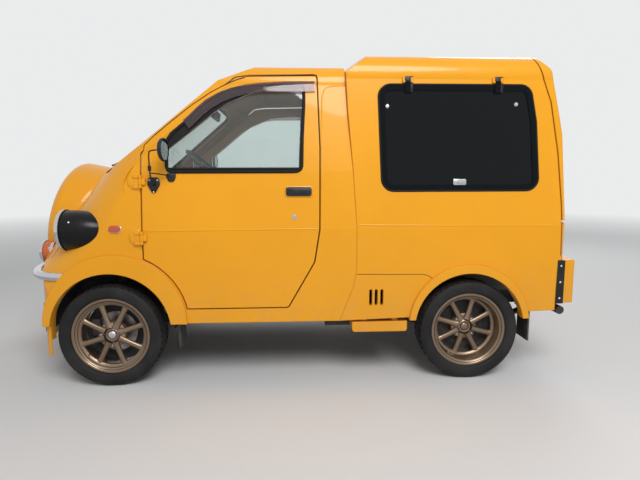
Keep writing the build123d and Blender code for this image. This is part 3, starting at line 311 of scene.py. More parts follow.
def make_finishes(settings):
    paint_finish(settings)
    tyre_finish()
    weave_finish("seat_cloth", tuple(settings.seats))
    plain_finish("wheel_bronze", tuple(settings.wheels), 0.36, metal=0.75, grain=220, vary=0.08, bump=0.05, coat=0.25)
    plain_finish("satin_black", (0.012, 0.012, 0.013), 0.40, grain=180, vary=0.2, bump=0.06, wear=(0.04, 0.04, 0.04),
                 shine=0.3)
    plain_finish("pod_black", (0.004, 0.004, 0.005), 0.30, grain=120, vary=0.25, bump=0.04, coat=0.06, shine=0.2)
    plain_finish("frame_gloss", (0.004, 0.006, 0.008), 0.06, grain=60, vary=0.1, bump=0.01, shine=0.09)
    plain_finish("seal_rubber", (0.008, 0.008, 0.009), 0.60, grain=240, vary=0.2, bump=0.12, shine=0.2)
    plain_finish("flap_rubber", (0.040, 0.041, 0.042), 0.70, grain=90, vary=0.25, bump=0.25, wear=(0.10, 0.09, 0.08))
    plain_finish("moulded_dash", (0.055, 0.055, 0.060), 0.62, grain=420, vary=0.12, bump=0.35, depth=0.0006)
    plain_finish("grained_black", (0.018, 0.018, 0.019), 0.50, grain=380, vary=0.15, bump=0.30, depth=0.0005)
    plain_finish("trim_board", (0.19, 0.185, 0.175), 0.80, grain=160, vary=0.10, bump=0.25)
    plain_finish("floor_mat", (0.045, 0.045, 0.047), 0.88, grain=300, vary=0.25, bump=0.5, depth=0.001)
    plain_finish("cargo_floor_paint", (0.16, 0.16, 0.165), 0.55, grain=50, vary=0.2, bump=0.12, wear=(0.28, 0.27, 0.25))
    plain_finish("underside_black", (0.028, 0.028, 0.029), 0.72, grain=70, vary=0.3, bump=0.4, wear=(0.09, 0.07, 0.055))
    plain_finish("chrome_plate", (0.58, 0.58, 0.60), 0.07, metal=1.0, grain=30, vary=0.03, bump=0.01, spread=0.03)
    plain_finish("bright_bolt", (0.56, 0.56, 0.57), 0.28, metal=1.0, grain=200, vary=0.10, bump=0.05)
    plain_finish("turned_steel", (0.34, 0.33, 0.32), 0.38, metal=1.0, grain=90, vary=0.15, bump=0.10,
                 stretch=(1, 12, 1), wear=(0.20, 0.11, 0.06))
    plain_finish("cast_iron", (0.085, 0.080, 0.076), 0.62, metal=0.6, grain=130, vary=0.25, bump=0.5,
                 wear=(0.16, 0.09, 0.05))
    plain_finish("exhaust_steel", (0.27, 0.24, 0.21), 0.48, metal=0.9, grain=60, vary=0.25, bump=0.15,
                 wear=(0.19, 0.09, 0.045))
    plain_finish("mirror_silver", (0.20, 0.21, 0.22), 0.03, metal=1.0, grain=10, vary=0.02, bump=0.0, spread=0.01)
    plain_finish("plate_white", (0.72, 0.72, 0.70), 0.42, grain=40, vary=0.05, bump=0.03, coat=0.3,
                 wear=(0.5, 0.47, 0.42))
    plain_finish("dial_face", (0.015, 0.016, 0.018), 0.35, grain=100, vary=0.1, bump=0.02, coat=0.6)
    plain_finish("dial_white", (0.75, 0.75, 0.72), 0.5, grain=100, vary=0.03, bump=0.0)
    glass_finish("window_glass", (0.80, 0.88, 0.86), 0.97)
    glass_finish("privacy_glass", (0.004, 0.006, 0.008), 0.30, 0.015, 0.09)
    glass_finish("visor_smoke", (0.42, 0.30, 0.32), 0.92, 0.05, 0.15)
    glass_finish("lamp_glass", (0.96, 0.97, 0.98), 0.96)
    lens_finish("amber_lens", (0.82, 0.17, 0.012), 0.35)
    lens_finish("marker_lens", (0.62, 0.085, 0.015), 0.25)
    lens_finish("red_lens", (0.52, 0.012, 0.010), 0.35)
    lens_finish("clear_lens", (0.90, 0.90, 0.90), 0.75)
    weave_finish("piping_cloth", (0.05, 0.05, 0.055))
    plain_finish("bulb_glass", (0.85, 0.84, 0.78), 0.15, grain=60, vary=0.03, bump=0.0, coat=0.5)


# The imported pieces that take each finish
NODE_FINISHES = {
    "amber_paint": "cab_shell cargo_shell nose_lid door_left door_right rear_hatch tailgate rear_bumper sill_box",
    "floor_mat": "cab_floor",
    "underside_black": "wheel_houses frame_rails fuel_tank front_suspension rear_axle",
    "trim_board": "firewall",
    "cargo_floor_paint": "cargo_floor",
    "window_glass": "windscreen door_glass_left door_glass_right",
    "moulded_dash": "dashboard",
    "seat_cloth": "seats",
    "pod_black": "headlamp_pods",
    "chrome_plate": "headlamp_rims front_bumpers",
    "lamp_glass": "headlamp_lenses",
    "amber_lens": "amber_lamps",
    "red_lens": "rear_lamps",
    "satin_black": "corner_strips mirror_left mirror_right",
    "cast_iron": "engine_block knuckle_left knuckle_right",
    "turned_steel": "propshaft disc_left disc_right",
    "exhaust_steel": "exhaust",
    "flap_rubber": "mudflaps",
    "plate_white": "number_plate",
    "frame_gloss": "side_frame_left side_frame_right",
    "privacy_glass": "side_glass_left side_glass_right rear_glass",
    "grained_black": "steering_wheel",
    "wheel_bronze": "rim_front_left rim_front_right rim_rear_left rim_rear_right",
    "tyre_rubber": "tyre_front_left tyre_front_right tyre_rear_left tyre_rear_right",
}


# ---------------------------------------------------------------- shaping

def at(x, y, z):
    return Vector((x, y, z)) * MM


def side_y(z, table):
    """How far out the body side is at a height, both in millimetres."""
    for (z0, y0), (z1, y1) in zip(table, table[1:]):
        if z <= z1:
            return y0 + (y1 - y0) * (z - z0) / (z1 - z0)
    return table[-1][1]


def side_normal(z, table):
    for (z0, y0), (z1, y1) in zip(table, table[1:]):
        if z <= z1:
            break
    return Vector((0, z1 - z0, y0 - y1)).normalized()


def on_side(x, z, table, out=0.0):
    return (Vector((x, side_y(z, table), z)) + side_normal(z, table) * out) * MM


def along(points, table, out):
    return [on_side(x, z, table, out) for x, z in points]


def moved(x, y, z, degrees=0, axis="Y"):
    """A frame at a place in millimetres, turned about an axis."""
    return Matrix.Translation(at(x, y, z)) @ Matrix.Rotation(math.radians(degrees), 4, axis)


def forward(x, y, z):
    """A frame whose z runs forward."""
    return moved(x, y, z, 90)


def backward(x, y, z):
    return moved(x, y, z, -90)


def shifted(matrix, x, y, z):
    """The frame moved in its own directions, in metres."""
    return matrix @ Matrix.Translation((x, y, z))


def facing(spot, normal, up=Vector((0, 0, 1))):
    """A frame whose z runs along the normal and whose y is as near up as it can be."""
    z = Vector(normal).normalized()
    x = up.cross(z).normalized()
    y = z.cross(x)
    return Matrix.Translation(spot) @ Matrix((x, y, z)).transposed().to_4x4()


def wall_at(x, z, table, out=0.0):
    """A frame that stands on the body side."""
    return facing(on_side(x, z, table, out), side_normal(z, table))


def rounded(points, radius, steps=5):
    """The outline with an arc at each corner."""
    result = []
    count = len(points)
    for i, corner in enumerate(points):
        here = Vector(corner)
        before = (Vector(points[i - 1]) - here).normalized()
        after = (Vector(points[(i + 1) % count]) - here).normalized()
        half = before.angle(after) / 2
        cut = radius / math.tan(half)
        middle = here + (before + after).normalized() * (radius / math.sin(half))
        start, end = here + before * cut, here + after * cut
        for k in range(steps + 1):
            spot = start.lerp(end, k / steps) - middle
            result.append(middle + spot.normalized() * radius)
    return result


def oblong(half_x, half_y, radius, steps=5):
    return rounded([(-half_x, -half_y), (half_x, -half_y), (half_x, half_y), (-half_x, half_y)], radius, steps)


def block(bm, size, matrix, bevel=0.0, segments=2):
    made = bmesh.ops.create_cube(bm, size=1.0, matrix=matrix @ Matrix.Diagonal((*size, 1.0)))
    if bevel:
        edges = list({e for v in made["verts"] for e in v.link_edges})
        bmesh.ops.bevel(bm, geom=edges, offset=bevel, segments=segments, profile=0.5, affect="EDGES", material=-1)


def drum(bm, radius, depth, matrix, segments=32, top=None, bevel=0.0):
    made = bmesh.ops.create_cone(bm, cap_ends=True, segments=segments, radius1=radius,
                                 radius2=radius if top is None else top, depth=depth, matrix=matrix)
    if bevel:
        caps = [f for f in {f for v in made["verts"] for f in v.link_faces} if len(f.verts) == segments]
        edges = list({e for f in caps for e in f.edges})
        bmesh.ops.bevel(bm, geom=edges, offset=bevel, segments=2, profile=0.5, affect="EDGES", material=-1)


def turned(bm, profile, steps):
    """Spins a profile of (radius, height) pairs round the z axis."""
    verts = [bm.verts.new(Vector((r, 0, h))) for r, h in profile]
    edges = [bm.edges.new(pair) for pair in zip(verts, verts[1:])]
    bmesh.ops.spin(bm, geom=verts + edges, cent=(0, 0, 0), axis=(0, 0, 1), angle=math.tau, steps=steps, use_merge=True)


def spun_mesh(profile, matrix, steps=48):
    bm = bmesh.new()
    turned(bm, profile, steps)
    bmesh.ops.remove_doubles(bm, verts=bm.verts, dist=1e-6)
    bmesh.ops.recalc_face_normals(bm, faces=bm.faces)
    bm.transform(matrix)
    return bm


def join(bm, other):
    """Adds one bmesh to another."""
    mesh = bpy.data.meshes.new("part")
    other.to_mesh(mesh)
    other.free()
    bm.from_mesh(mesh)
    bpy.data.meshes.remove(mesh)


def pipe(bm, points, radius, closed=False, smooth=False, resolution=3):
    """A rod that follows points, made from a bevelled curve."""
    data = bpy.data.curves.new("rod", "CURVE")
    data.dimensions = "3D"
    data.bevel_depth = radius
    data.bevel_resolution = resolution
    data.use_fill_caps = not closed
    data.resolution_u = 6
    line = data.splines.new("NURBS" if smooth else "POLY")
    line.points.add(len(points) - 1)
    for spot, place_at in zip(line.points, points):
        spot.co = (*place_at, 1)
    line.use_cyclic_u = closed
    if smooth:
        line.order_u = 3
        line.use_endpoint_u = not closed
    holder = bpy.data.objects.new("rod", data)
    mesh = bpy.data.meshes.new_from_object(holder)
    bm.from_mesh(mesh)
    bpy.data.objects.remove(holder)
    bpy.data.curves.remove(data)
    bpy.data.meshes.remove(mesh)


def rod(points, radius, **kind):
    bm = bmesh.new()
    pipe(bm, points, radius, **kind)
    return bm


def sheet_from(bm, outline, matrix, thickness, bevel=0.0):
    """A plate from an outline in millimetres in the matrix's x and y, with its thickness along z."""
    verts = [bm.verts.new((x * MM, y * MM, 0)) for x, y in outline]
    face = bm.faces.new(verts)
    face.normal_update()
    if face.normal.z < 0:
        face.normal_flip()
    pushed = bmesh.ops.extrude_face_region(bm, geom=[face])
    top = [v for v in pushed["geom"] if isinstance(v, bmesh.types.BMVert)]
    bmesh.ops.translate(bm, verts=top, vec=(0, 0, thickness))
    every = list(set(verts + top))
    if bevel:
        rim = [e for e in {e for v in top for e in v.link_edges} if e.verts[0] in top and e.verts[1] in top]
        made = bmesh.ops.bevel(bm, geom=rim, offset=bevel, segments=2, profile=0.5, affect="EDGES", material=-1)
        every = list(set([v for v in every if v.is_valid] + made["verts"]))
    bmesh.ops.transform(bm, matrix=matrix, verts=every)


def both(bm):
    """Adds the right-hand copy of everything."""
    made = bmesh.ops.duplicate(bm, geom=bm.verts[:] + bm.edges[:] + bm.faces[:])["geom"]
    bmesh.ops.scale(bm, vec=(1, -1, 1), verts=[g for g in made if isinstance(g, bmesh.types.BMVert)])
    bmesh.ops.reverse_faces(bm, faces=[g for g in made if isinstance(g, bmesh.types.BMFace)])
    return bm


def skin(bm, rows, closed=False):
    """Faces between rows of points."""
    lines = []
    for row in rows:
        verts = [bm.verts.new(p) for p in row]
        pairs = list(zip(verts, verts[1:])) + ([(verts[-1], verts[0])] if closed else [])
        lines.append([bm.edges.new(pair) for pair in pairs])
    for one, two in zip(lines, lines[1:]):
        bmesh.ops.bridge_loops(bm, edges=one + two)


def screw(bm, matrix, radius=0.005):
    """A pan-head screw with its washer face."""
    join(bm, spun_mesh([(0.0004, radius * 0.55), (radius * 0.5, radius * 0.50), (radius * 0.85, radius * 0.30),
                        (radius, radius * 0.05), (radius, -0.002)], matrix, 16))


def build(bm, name, body, finish, way=1, smooth=40, replaces=()):
    """Turns a bmesh into a finished piece that rides on a body, on the right-hand side where way is -1."""
    if way < 0:
        bmesh.ops.scale(bm, vec=(1, -1, 1), verts=bm.verts)
    bmesh.ops.remove_doubles(bm, verts=bm.verts, dist=2e-6)
    bmesh.ops.recalc_face_normals(bm, faces=bm.faces)
    mesh = bpy.data.meshes.new(name)
    bm.to_mesh(mesh)
    bm.free()
    piece = bpy.data.objects.new(name, mesh)
    bpy.context.scene.collection.objects.link(piece)
    mesh.materials.append(FINISHES[finish])
    mesh.shade_smooth()
    mesh.set_sharp_from_angle(angle=math.radians(smooth))
    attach(piece, body)
    if replaces:
        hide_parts(*replaces)
    return piece


# ---------------------------------------------------------------- wheels

def tyre_form(settings):
    """A tyre standing on the z axis, its outer side towards +z."""
    bm = bmesh.new()
    groove = settings.groove
    half = [(0.178, 0.057), (0.190, 0.0572), (0.1955, 0.0600), (0.1975, 0.0665), (0.2010, 0.0700), (0.2060, 0.0728),
            (0.2095, 0.0740), (0.2100, 0.0750), (0.2160, 0.0762), (0.2240, 0.0772), (0.2300, 0.0773), (0.2305, 0.0764),
            (0.2400, 0.0748), (0.2408, 0.0738), (0.2470, 0.0722), (0.2515, 0.0692), (0.2550, 0.0655), (0.2572, 0.0612),
            (0.2586, 0.0560), (0.2592, 0.0480), (0.2592 - groove, 0.0465), (0.2592 - groove, 0.0405), (0.2600, 0.0390),
            (0.2605, 0.0240), (0.2605 - groove, 0.0225), (0.2605 - groove, 0.0155), (0.2607, 0.0140), (0.2610, 0.0)]
    profile = half + [(r, -h) for r, h in reversed(half[:-1])]
    turned(bm, profile, settings.steps)
    bmesh.ops.remove_doubles(bm, verts=bm.verts, dist=1e-6)
    bmesh.ops.recalc_face_normals(bm, faces=bm.faces)
    cuts, slits = [], []
    for face in bm.faces:
        middle = face.calc_center_median()
        r, h = math.hypot(middle.x, middle.y), abs(middle.z)
        step = int(math.atan2(middle.y, middle.x) / math.tau * settings.steps + settings.steps)
        shift = 1 if middle.z > 0 else 0
        if r > 0.2545 and 0.048 < h < 0.0665 and (step + shift) % 3 == 0:
            cuts.append(face)
        elif 0.024 < h < 0.039 and r > 0.2595 and step % 4 == 0:
            slits.append(face)
    for faces, depth in ((cuts, groove * 0.85), (slits, groove * 0.6)):
        pushed = bmesh.ops.extrude_face_region(bm, geom=faces)
        sunk = [v for v in pushed["geom"] if isinstance(v, bmesh.types.BMVert)]
        bmesh.ops.delete(bm, geom=faces, context="FACES_ONLY")
        for v in sunk:
            r = math.hypot(v.co.x, v.co.y)
            v.co.x *= (r - depth) / r
            v.co.y *= (r - depth) / r
    return bm


def wheel_matrix(x):
    """Turns z-standing forms so that their outer side faces the truck's left."""
    return moved(x, WHEEL_Y, AXLE_Z, -90, "X")


def spoke(bm, inner, outer, angle, width, front):
    """One rounded spoke that grows out of the hub and flares into the rim."""
    stations = [(inner - 0.012, 1.45, 0.0), (inner, 1.20, 0.001), (inner + 0.014, 1.02, 0.002),
                ((inner + outer) / 2, 0.94, 0.001), (outer - 0.016, 0.98, -0.001), (outer - 0.004, 1.15, -0.003),
                (outer + 0.006, 1.50, -0.006)]
    arm = bmesh.new()
    ring = bmesh.ops.create_circle(arm, cap_ends=False, segments=14, radius=width / 2)["verts"]
    edges = list({e for v in ring for e in v.link_edges})
    bmesh.ops.scale(arm, vec=(stations[0][1], stations[0][1] * 0.85, 1), verts=ring)
    done = stations[0]
    for station in stations[1:]:
        pushed = bmesh.ops.extrude_edge_only(arm, edges=edges)["geom"]
        ring = [g for g in pushed if isinstance(g, bmesh.types.BMVert)]
        edges = [g for g in pushed if isinstance(g, bmesh.types.BMEdge)]
        grow = station[1] / done[1]
        bmesh.ops.scale(arm, vec=(grow, grow, 1), verts=ring)
        bmesh.ops.translate(arm, vec=(0, station[2] - done[2], station[0] - done[0]), verts=ring)
        done = station
    lying = Matrix(((0, 0, 1, 0), (1, 0, 0, 0), (0, 1, 0, 0), (0, 0, 0, 1)))
    arm.transform(Matrix.Rotation(angle, 4, "Z") @ Matrix.Translation((stations[0][0], 0, front)) @ lying)
    join(bm, arm)


def rim_form(settings, first, face, lip, hub_back, lugs_at):
    """A wheel on the z axis: the barrel, the lip, the spokes and the hub with its bosses."""
    bm = bmesh.new()
    barrel = [(0.166, -0.062), (0.1945, -0.062), (0.195, -0.060), (0.1945, -0.0575), (0.179, -0.0565), (0.178, -0.054),
              (0.178, 0.054), (0.179, 0.0565), (0.1935, 0.0575), (0.195, 0.0592), (0.1948, 0.0612), (0.1930, 0.0620),
              (0.1865, 0.0618), (0.1825, 0.0600), (0.1800, 0.0560), (0.1740, 0.0520), (0.1705, 0.0505),
              (0.1690, 0.0480), (lip + 0.012, face + 0.006), (lip + 0.005, face + 0.003), (lip, face - 0.002),
              (lip - 0.001, face - 0.013), (lip + 0.006, face - 0.020), (0.166, face - 0.026), (0.166, -0.062)]
    turned(bm, barrel, 96)
    hub = [(0.022, face - 0.006), (0.024, face + 0.002), (0.030, face + 0.004), (0.036, face + 0.001),
           (0.040, face - 0.003), (0.060, face - 0.006), (0.068, face - 0.010), (0.070, face - 0.016),
           (0.070, hub_back)]
    turned(bm, hub, 64)
    for k in range(settings.spokes):
        spoke(bm, 0.052, lip, math.radians(first + k * 360 / settings.spokes), settings.spoke_width, face - 0.008)
    for k in range(4):
        a = math.radians(lugs_at + 90 * k)
        spot = Vector((0.055 * math.cos(a), 0.055 * math.sin(a), 0))
        boss = spun_mesh([(0.0085, face - 0.010), (0.0095, face - 0.0005), (0.0125, face + 0.0008),
                          (0.0150, face - 0.002), (0.0165, face - 0.012)], Matrix.Translation(spot), 20)
        join(bm, boss)
    return bm


def nuts_form(face, lugs_at, valve_at):
    """The four nuts and the valve stem, on the z axis."""
    bm = bmesh.new()
    for k in range(4):
        a = math.radians(lugs_at + 90 * k)
        spot = Matrix.Translation((0.055 * math.cos(a), 0.055 * math.sin(a), face - 0.006))
        drum(bm, 0.0075, 0.012, spot, segments=6, top=0.0068, bevel=0.0008)
    a = math.radians(valve_at)
    stem = Matrix.Translation((0.158 * math.cos(a), 0.158 * math.sin(a), 0.046))
    drum(bm, 0.0035, 0.022, stem, segments=12, bevel=0.0008)
    return bm


class TRUCK_OT_tyres(bpy.types.Operator):
    """Makes the four tyres with grooves, shoulder blocks and ribbed sidewalls"""
    bl_idname = "truck.tyres"
    bl_label = "Tyres"

    def execute(self, context):
        settings = context.scene.truck_wheels
        for end, x in (("front", FRONT_AXLE_X), ("rear", REAR_AXLE_X)):
            for side, way in SIDES:
                bm = tyre_form(settings)
                bm.transform(wheel_matrix(x))
                build(bm, f"road_tyre_{end}_{side}", f"wheel_{end}_{side}", "tyre_rubber", way, 32,
                      replaces=(f"tyre_{end}_{side}",))
        return {"FINISHED"}


class TRUCK_OT_rims(bpy.types.Operator):
    """Makes the eight-spoke bronze wheels with nuts, valves and centre caps"""
    bl_idname = "truck.rims"
    bl_label = "Wheels"

    def execute(self, context):
        settings = context.scene.truck_wheels
        for end, x, first, face, lip, back, lugs in (
                ("front", FRONT_AXLE_X, 18, 0.038, 0.156, 0.0045, 0),
                ("rear", REAR_AXLE_X, 28, -0.002, 0.146, -0.0395, 45)):
            for side, way in SIDES:
                body = f"wheel_{end}_{side}"
                bm = rim_form(settings, first, face, lip, back, lugs)
                bm.transform(wheel_matrix(x))
                build(bm, f"spoked_rim_{end}_{side}", body, "wheel_bronze", way, 35,
                      replaces=(f"rim_{end}_{side}",))
                bm = nuts_form(face, lugs, first + 22)
                bm.transform(wheel_matrix(x))
                build(bm, f"wheel_nuts_{end}_{side}", body, "bright_bolt", way, 30)
                cap = [(0.0005, face + 0.010), (0.010, face + 0.0095), (0.018, face + 0.007), (0.0215, face + 0.003),
                       (0.0225, face - 0.002), (0.0225, face - 0.006)]
                build(spun_mesh(cap, wheel_matrix(x), 40), f"centre_cap_{end}_{side}", body,
                      "bright_bolt" if end == "front" else "wheel_bronze", way)
        return {"FINISHED"}


# ---------------------------------------------------------------- stage

class TRUCK_OT_stage(bpy.types.Operator):
    """Makes the pale floor, the soft light and the camera"""
    bl_idname = "truck.stage"
    bl_label = "Stage"

    def execute(self, context):
        settings = context.scene.truck_stage
        scene = context.scene
        scene.view_settings.view_transform = "Standard"
        pale = tuple(settings.ground)
        bm = bmesh.new()
        bmesh.ops.create_circle(bm, cap_ends=True, segments=64, radius=60)
        mesh = bpy.data.meshes.new("floor")
        bm.to_mesh(mesh)
        bm.free()
        floor = bpy.data.objects.new("floor", mesh)
        scene.collection.objects.link(floor)
        mat, shader = new_finish("pale_floor")
        give(mat, shader, Base_Color=mix(mat, noise(mat, 3, 5), shade(pale, 0.985), shade(pale, 1.01)), Roughness=0.9,
             Specular_IOR_Level=0.1)
        glow = node(mat, "ShaderNodeEmission", Color=pale, Strength=WHITE)
        far = node(mat, "ShaderNodeVectorMath")
        far.operation = "LENGTH"
        feed(mat, far.inputs[0], coords(mat))
        blend = node(mat, "ShaderNodeMixShader", Fac=ramp(mat, far.outputs["Value"], 4.0, 14.0))
        feed(mat, blend.inputs[1], shader.outputs["BSDF"])
        feed(mat, blend.inputs[2], glow.outputs["Emission"])
        out = next(n for n in mat.node_tree.nodes if n.type == "OUTPUT_MATERIAL")
        give(mat, out, Surface=blend.outputs["Shader"])
        mesh.materials.append(mat)

        world = bpy.data.worlds.new("pale_sky")
        scene.world = world
        world.use_nodes = True
        world.node_tree.nodes.clear()
        path = node(world, "ShaderNodeLightPath").outputs
        shiny = combine(world, "MAXIMUM", path["Is Glossy Ray"], path["Is Transmission Ray"])
        seen = combine(world, "MAXIMUM", path["Is Camera Ray"], shiny)
        sky = node(world, "ShaderNodeBackground", Color=pale, Strength=ramp(world, seen, 0, 1, settings.fill, WHITE))
        node(world, "ShaderNodeOutputWorld", Surface=sky.outputs["Background"])

        for name, spot, aim, size, power in (("key", (-0.9, 4.6, 4.6), (0, 0.3, 0.8), 3.0, settings.key),
                                             ("rim", (-3.5, -4.0, 4.2), (0, 0, 0.8), 3.0, settings.key * 0.42)):
            data = bpy.data.lights.new(name, "AREA")
            data.shape = "DISK"
            data.size = size
            data.energy = power
            lamp = bpy.data.objects.new(name, data)
            scene.collection.objects.link(lamp)
            lamp.location = spot
            lamp.rotation_euler = (Vector(aim) - Vector(spot)).to_track_quat("-Z", "Y").to_euler()

        lens = bpy.data.cameras.new("photo_view")
        lens.lens = settings.lens
        lens.sensor_width = 36
        lens.clip_end = 200
        camera = bpy.data.objects.new("photo_view", lens)
        scene.collection.objects.link(camera)
        camera.location = settings.camera_place
        camera.rotation_euler = (math.pi / 2 - settings.camera_pitch, 0.0026, math.pi - settings.camera_yaw)
        scene.camera = camera
        return {"FINISHED"}


class TRUCK_OT_finishes(bpy.types.Operator):
    """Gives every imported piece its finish"""
    bl_idname = "truck.finishes"
    bl_label = "Finishes"

    def execute(self, context):
        make_finishes(context.scene.truck_paint)
        for finish, names in NODE_FINISHES.items():
            for name in names.split():
                slots = NODES[name].data.materials
                slots.clear()
                slots.append(FINISHES[finish])
        return {"FINISHED"}


# ---------------------------------------------------------------- seals and door fittings

class TRUCK_OT_seals(bpy.types.Operator):
    """Makes the rubber seals round the door and hatch windows"""
    bl_idname = "truck.seals"
    bl_label = "Seals"

    def execute(self, context):
        trim = context.scene.truck_trim
        for side, way in SIDES:
            ring = along(WINDOW_SEAL, CAB_SIDE, 1.0)
            build(rod(ring, trim.seal, closed=True), f"window_seal_{side}", f"door_{side}", "seal_rubber", way)
            lip = [on_side(x, 1098, CAB_SIDE, -1.0) for x in (634, 480, 300, 120, -6)]
            build(rod(lip, 0.0075), f"belt_wiper_{side}", f"door_{side}", "seal_rubber", way)
            flat = rounded(HATCH_OUTLINE, 62, 6)
            middle = sum(flat, Vector((0, 0))) / len(flat)
            ring = along([p - (p - middle).normalized() * 5 for p in flat], BOX_SIDE, 0.0)
            build(rod(ring, 0.0050, closed=True), f"hatch_seal_{side}", f"side_hatch_{side}", "seal_rubber", way)
        return {"FINISHED"}


class TRUCK_OT_doors(bpy.types.Operator):
    """Makes the door handles, locks and smoked rain visors"""
    bl_idname = "truck.doors"
    bl_label = "Door fittings"

    def execute(self, context):
        for side, way in SIDES:
            body = f"door_{side}"
            spot = wall_at(3, 986, CAB_SIDE)
            for name, half, radius, up, lift, thick, bevel, finish in (
                    ("surround", (70, 29), 16, 0, -0.002, 0.0050, 0.0025, "amber_paint"),
                    ("cup", (64, 23), 13, 0, 0.001, 0.0045, 0.0015, "grained_black"),
                    ("flap", (57, 15), 11, 0.002, 0.004, 0.0080, 0.0035, "satin_black")):
                bm = bmesh.new()
                sheet_from(bm, oblong(*half, radius), shifted(spot, 0, up, lift), thick, bevel)
                build(bm, f"handle_{name}_{side}", body, finish, way)
            lock = wall_at(26, 862, CAB_SIDE)
            bm = spun_mesh([(0.0005, 0.0042), (0.008, 0.0042), (0.0085, 0.0030), (0.0105, 0.0032), (0.0125, 0.0016),
                            (0.0130, -0.002)], lock, 32)
            build(bm, f"lock_barrel_{side}", body, "bright_bolt", way)
            # Key slot: a black block on the lock barrel, the shade inside the slot painted black
            bm = bmesh.new()
            block(bm, (0.0018, 0.009, 0.002), shifted(lock, 0, 0, 0.0038))
            build(bm, f"key_slot_painted_shade_{side}", body, "satin_black", way)
            path = [(562, 1334), (533, 1360), (495, 1397), (456, 1431), (396, 1466), (334, 1490), (260, 1508),
                    (188, 1516), (60, 1524), (-80, 1526)]
            bm = bmesh.new()
            skin(bm, [[on_side(x + drop * 0.55 * (x > 150), z + drop * (0.85 if x > 150 else 1), CAB_SIDE, out)
                       for x, z in path] for drop, out in ((0, 4), (-7, 9), (-30, 12), (-52, 13))])
            bmesh.ops.recalc_face_normals(bm, faces=bm.faces)
            bmesh.ops.solidify(bm, geom=bm.faces[:], thickness=0.002)
            build(bm, f"rain_visor_{side}", body, "visor_smoke", way)
        return {"FINISHED"}


# ---------------------------------------------------------------- nose, lamps and bumpers

class TRUCK_OT_nose(bpy.types.Operator):
    """Makes the wide dished lid, the corner skins behind the lamps and the panel tabs"""
    bl_idname = "truck.nose"
    bl_label = "Nose"

    def execute(self, context):
        lean = math.radians(LID_LEAN)
        out, up = Vector((math.cos(lean), 0, math.sin(lean))), Vector((-math.sin(lean), 0, math.cos(lean)))
        flat = LID_R - LID_EDGE
        stations = [(r, 14 * (1 - (r / flat) ** 2)) for r in (20, 80, 150, 210, flat)]
        stations += [(flat + LID_EDGE * math.sin(a), LID_EDGE * (math.cos(a) - 1))
                     for a in (math.radians(15 * k) for k in range(1, 7))]

        def on_lid(r, h, turn):
            return (Vector((LID_X, r * math.sin(turn), LID_Z)) + out * h + up * r * math.cos(turn)) * MM

        turns = [math.tau * k / LID_STEPS for k in range(LID_STEPS)]
        rows = [[on_lid(r, h, turn) for turn in turns] for r, h in stations]
        deep = [max(LID_WALL[min(k, LID_STEPS - k)] - 3, LID_EDGE + 3) - LID_EDGE for k in range(LID_STEPS)]
        rows += [[on_lid(LID_R, -LID_EDGE - d * part, turn) for d, turn in zip(deep, turns)]
                 for part in (0.33, 0.66, 1)]
        bm = bmesh.new()
        skin(bm, rows, closed=True)
        ring = sorted(bm.edges, key=lambda e: -sum((v.co - at(LID_X, 0, LID_Z)).dot(out) for v in e.verts))
        bmesh.ops.edgeloop_fill(bm, edges=[e for e in bm.edges if e.is_boundary and e in set(ring[:60])])
        lid = build(bm, "spare_wheel_lid", "nose_lid", "amber_paint", 1, 50, replaces=("nose_lid",))
        wall = lid.modifiers.new("wall", "SOLIDIFY")
        wall.thickness = 0.010
        wall.offset = -1
        bm = bmesh.new()
        for y in (-90, 90):
            drum(bm, 0.0085, 0.036, moved(LID_PIN[0], y, LID_PIN[1], 90, "X"), 20)
            block(bm, (0.070, 0.034, 0.009), moved(1107, y, 1104, 24), 0.003)
        build(bm, "lid_hinges", "nose_lid", "amber_paint")

        bm = bmesh.new()
        skin(bm, [[at(x + 1.6, y, z) for x, y in zip(row, (395, 425, 455, 485, 515, 540))] for z, row in NOSE_SKIN])
        build(both(bm), "nose_corner_skins", "truck", "amber_paint", 1, 60)
        bm = bmesh.new()
        skin(bm, [[at(x, y, z) for x, y in ((1244, 624), (1257, 619), (1270, 610))] for z in (335, 250, 180, 171)])
        bmesh.ops.recalc_face_normals(bm, faces=bm.faces)
        bmesh.ops.solidify(bm, geom=bm.faces[:], thickness=0.003)
        build(both(bm), "valance_tabs", "truck", "amber_paint", 1, 50)
        return {"FINISHED"}


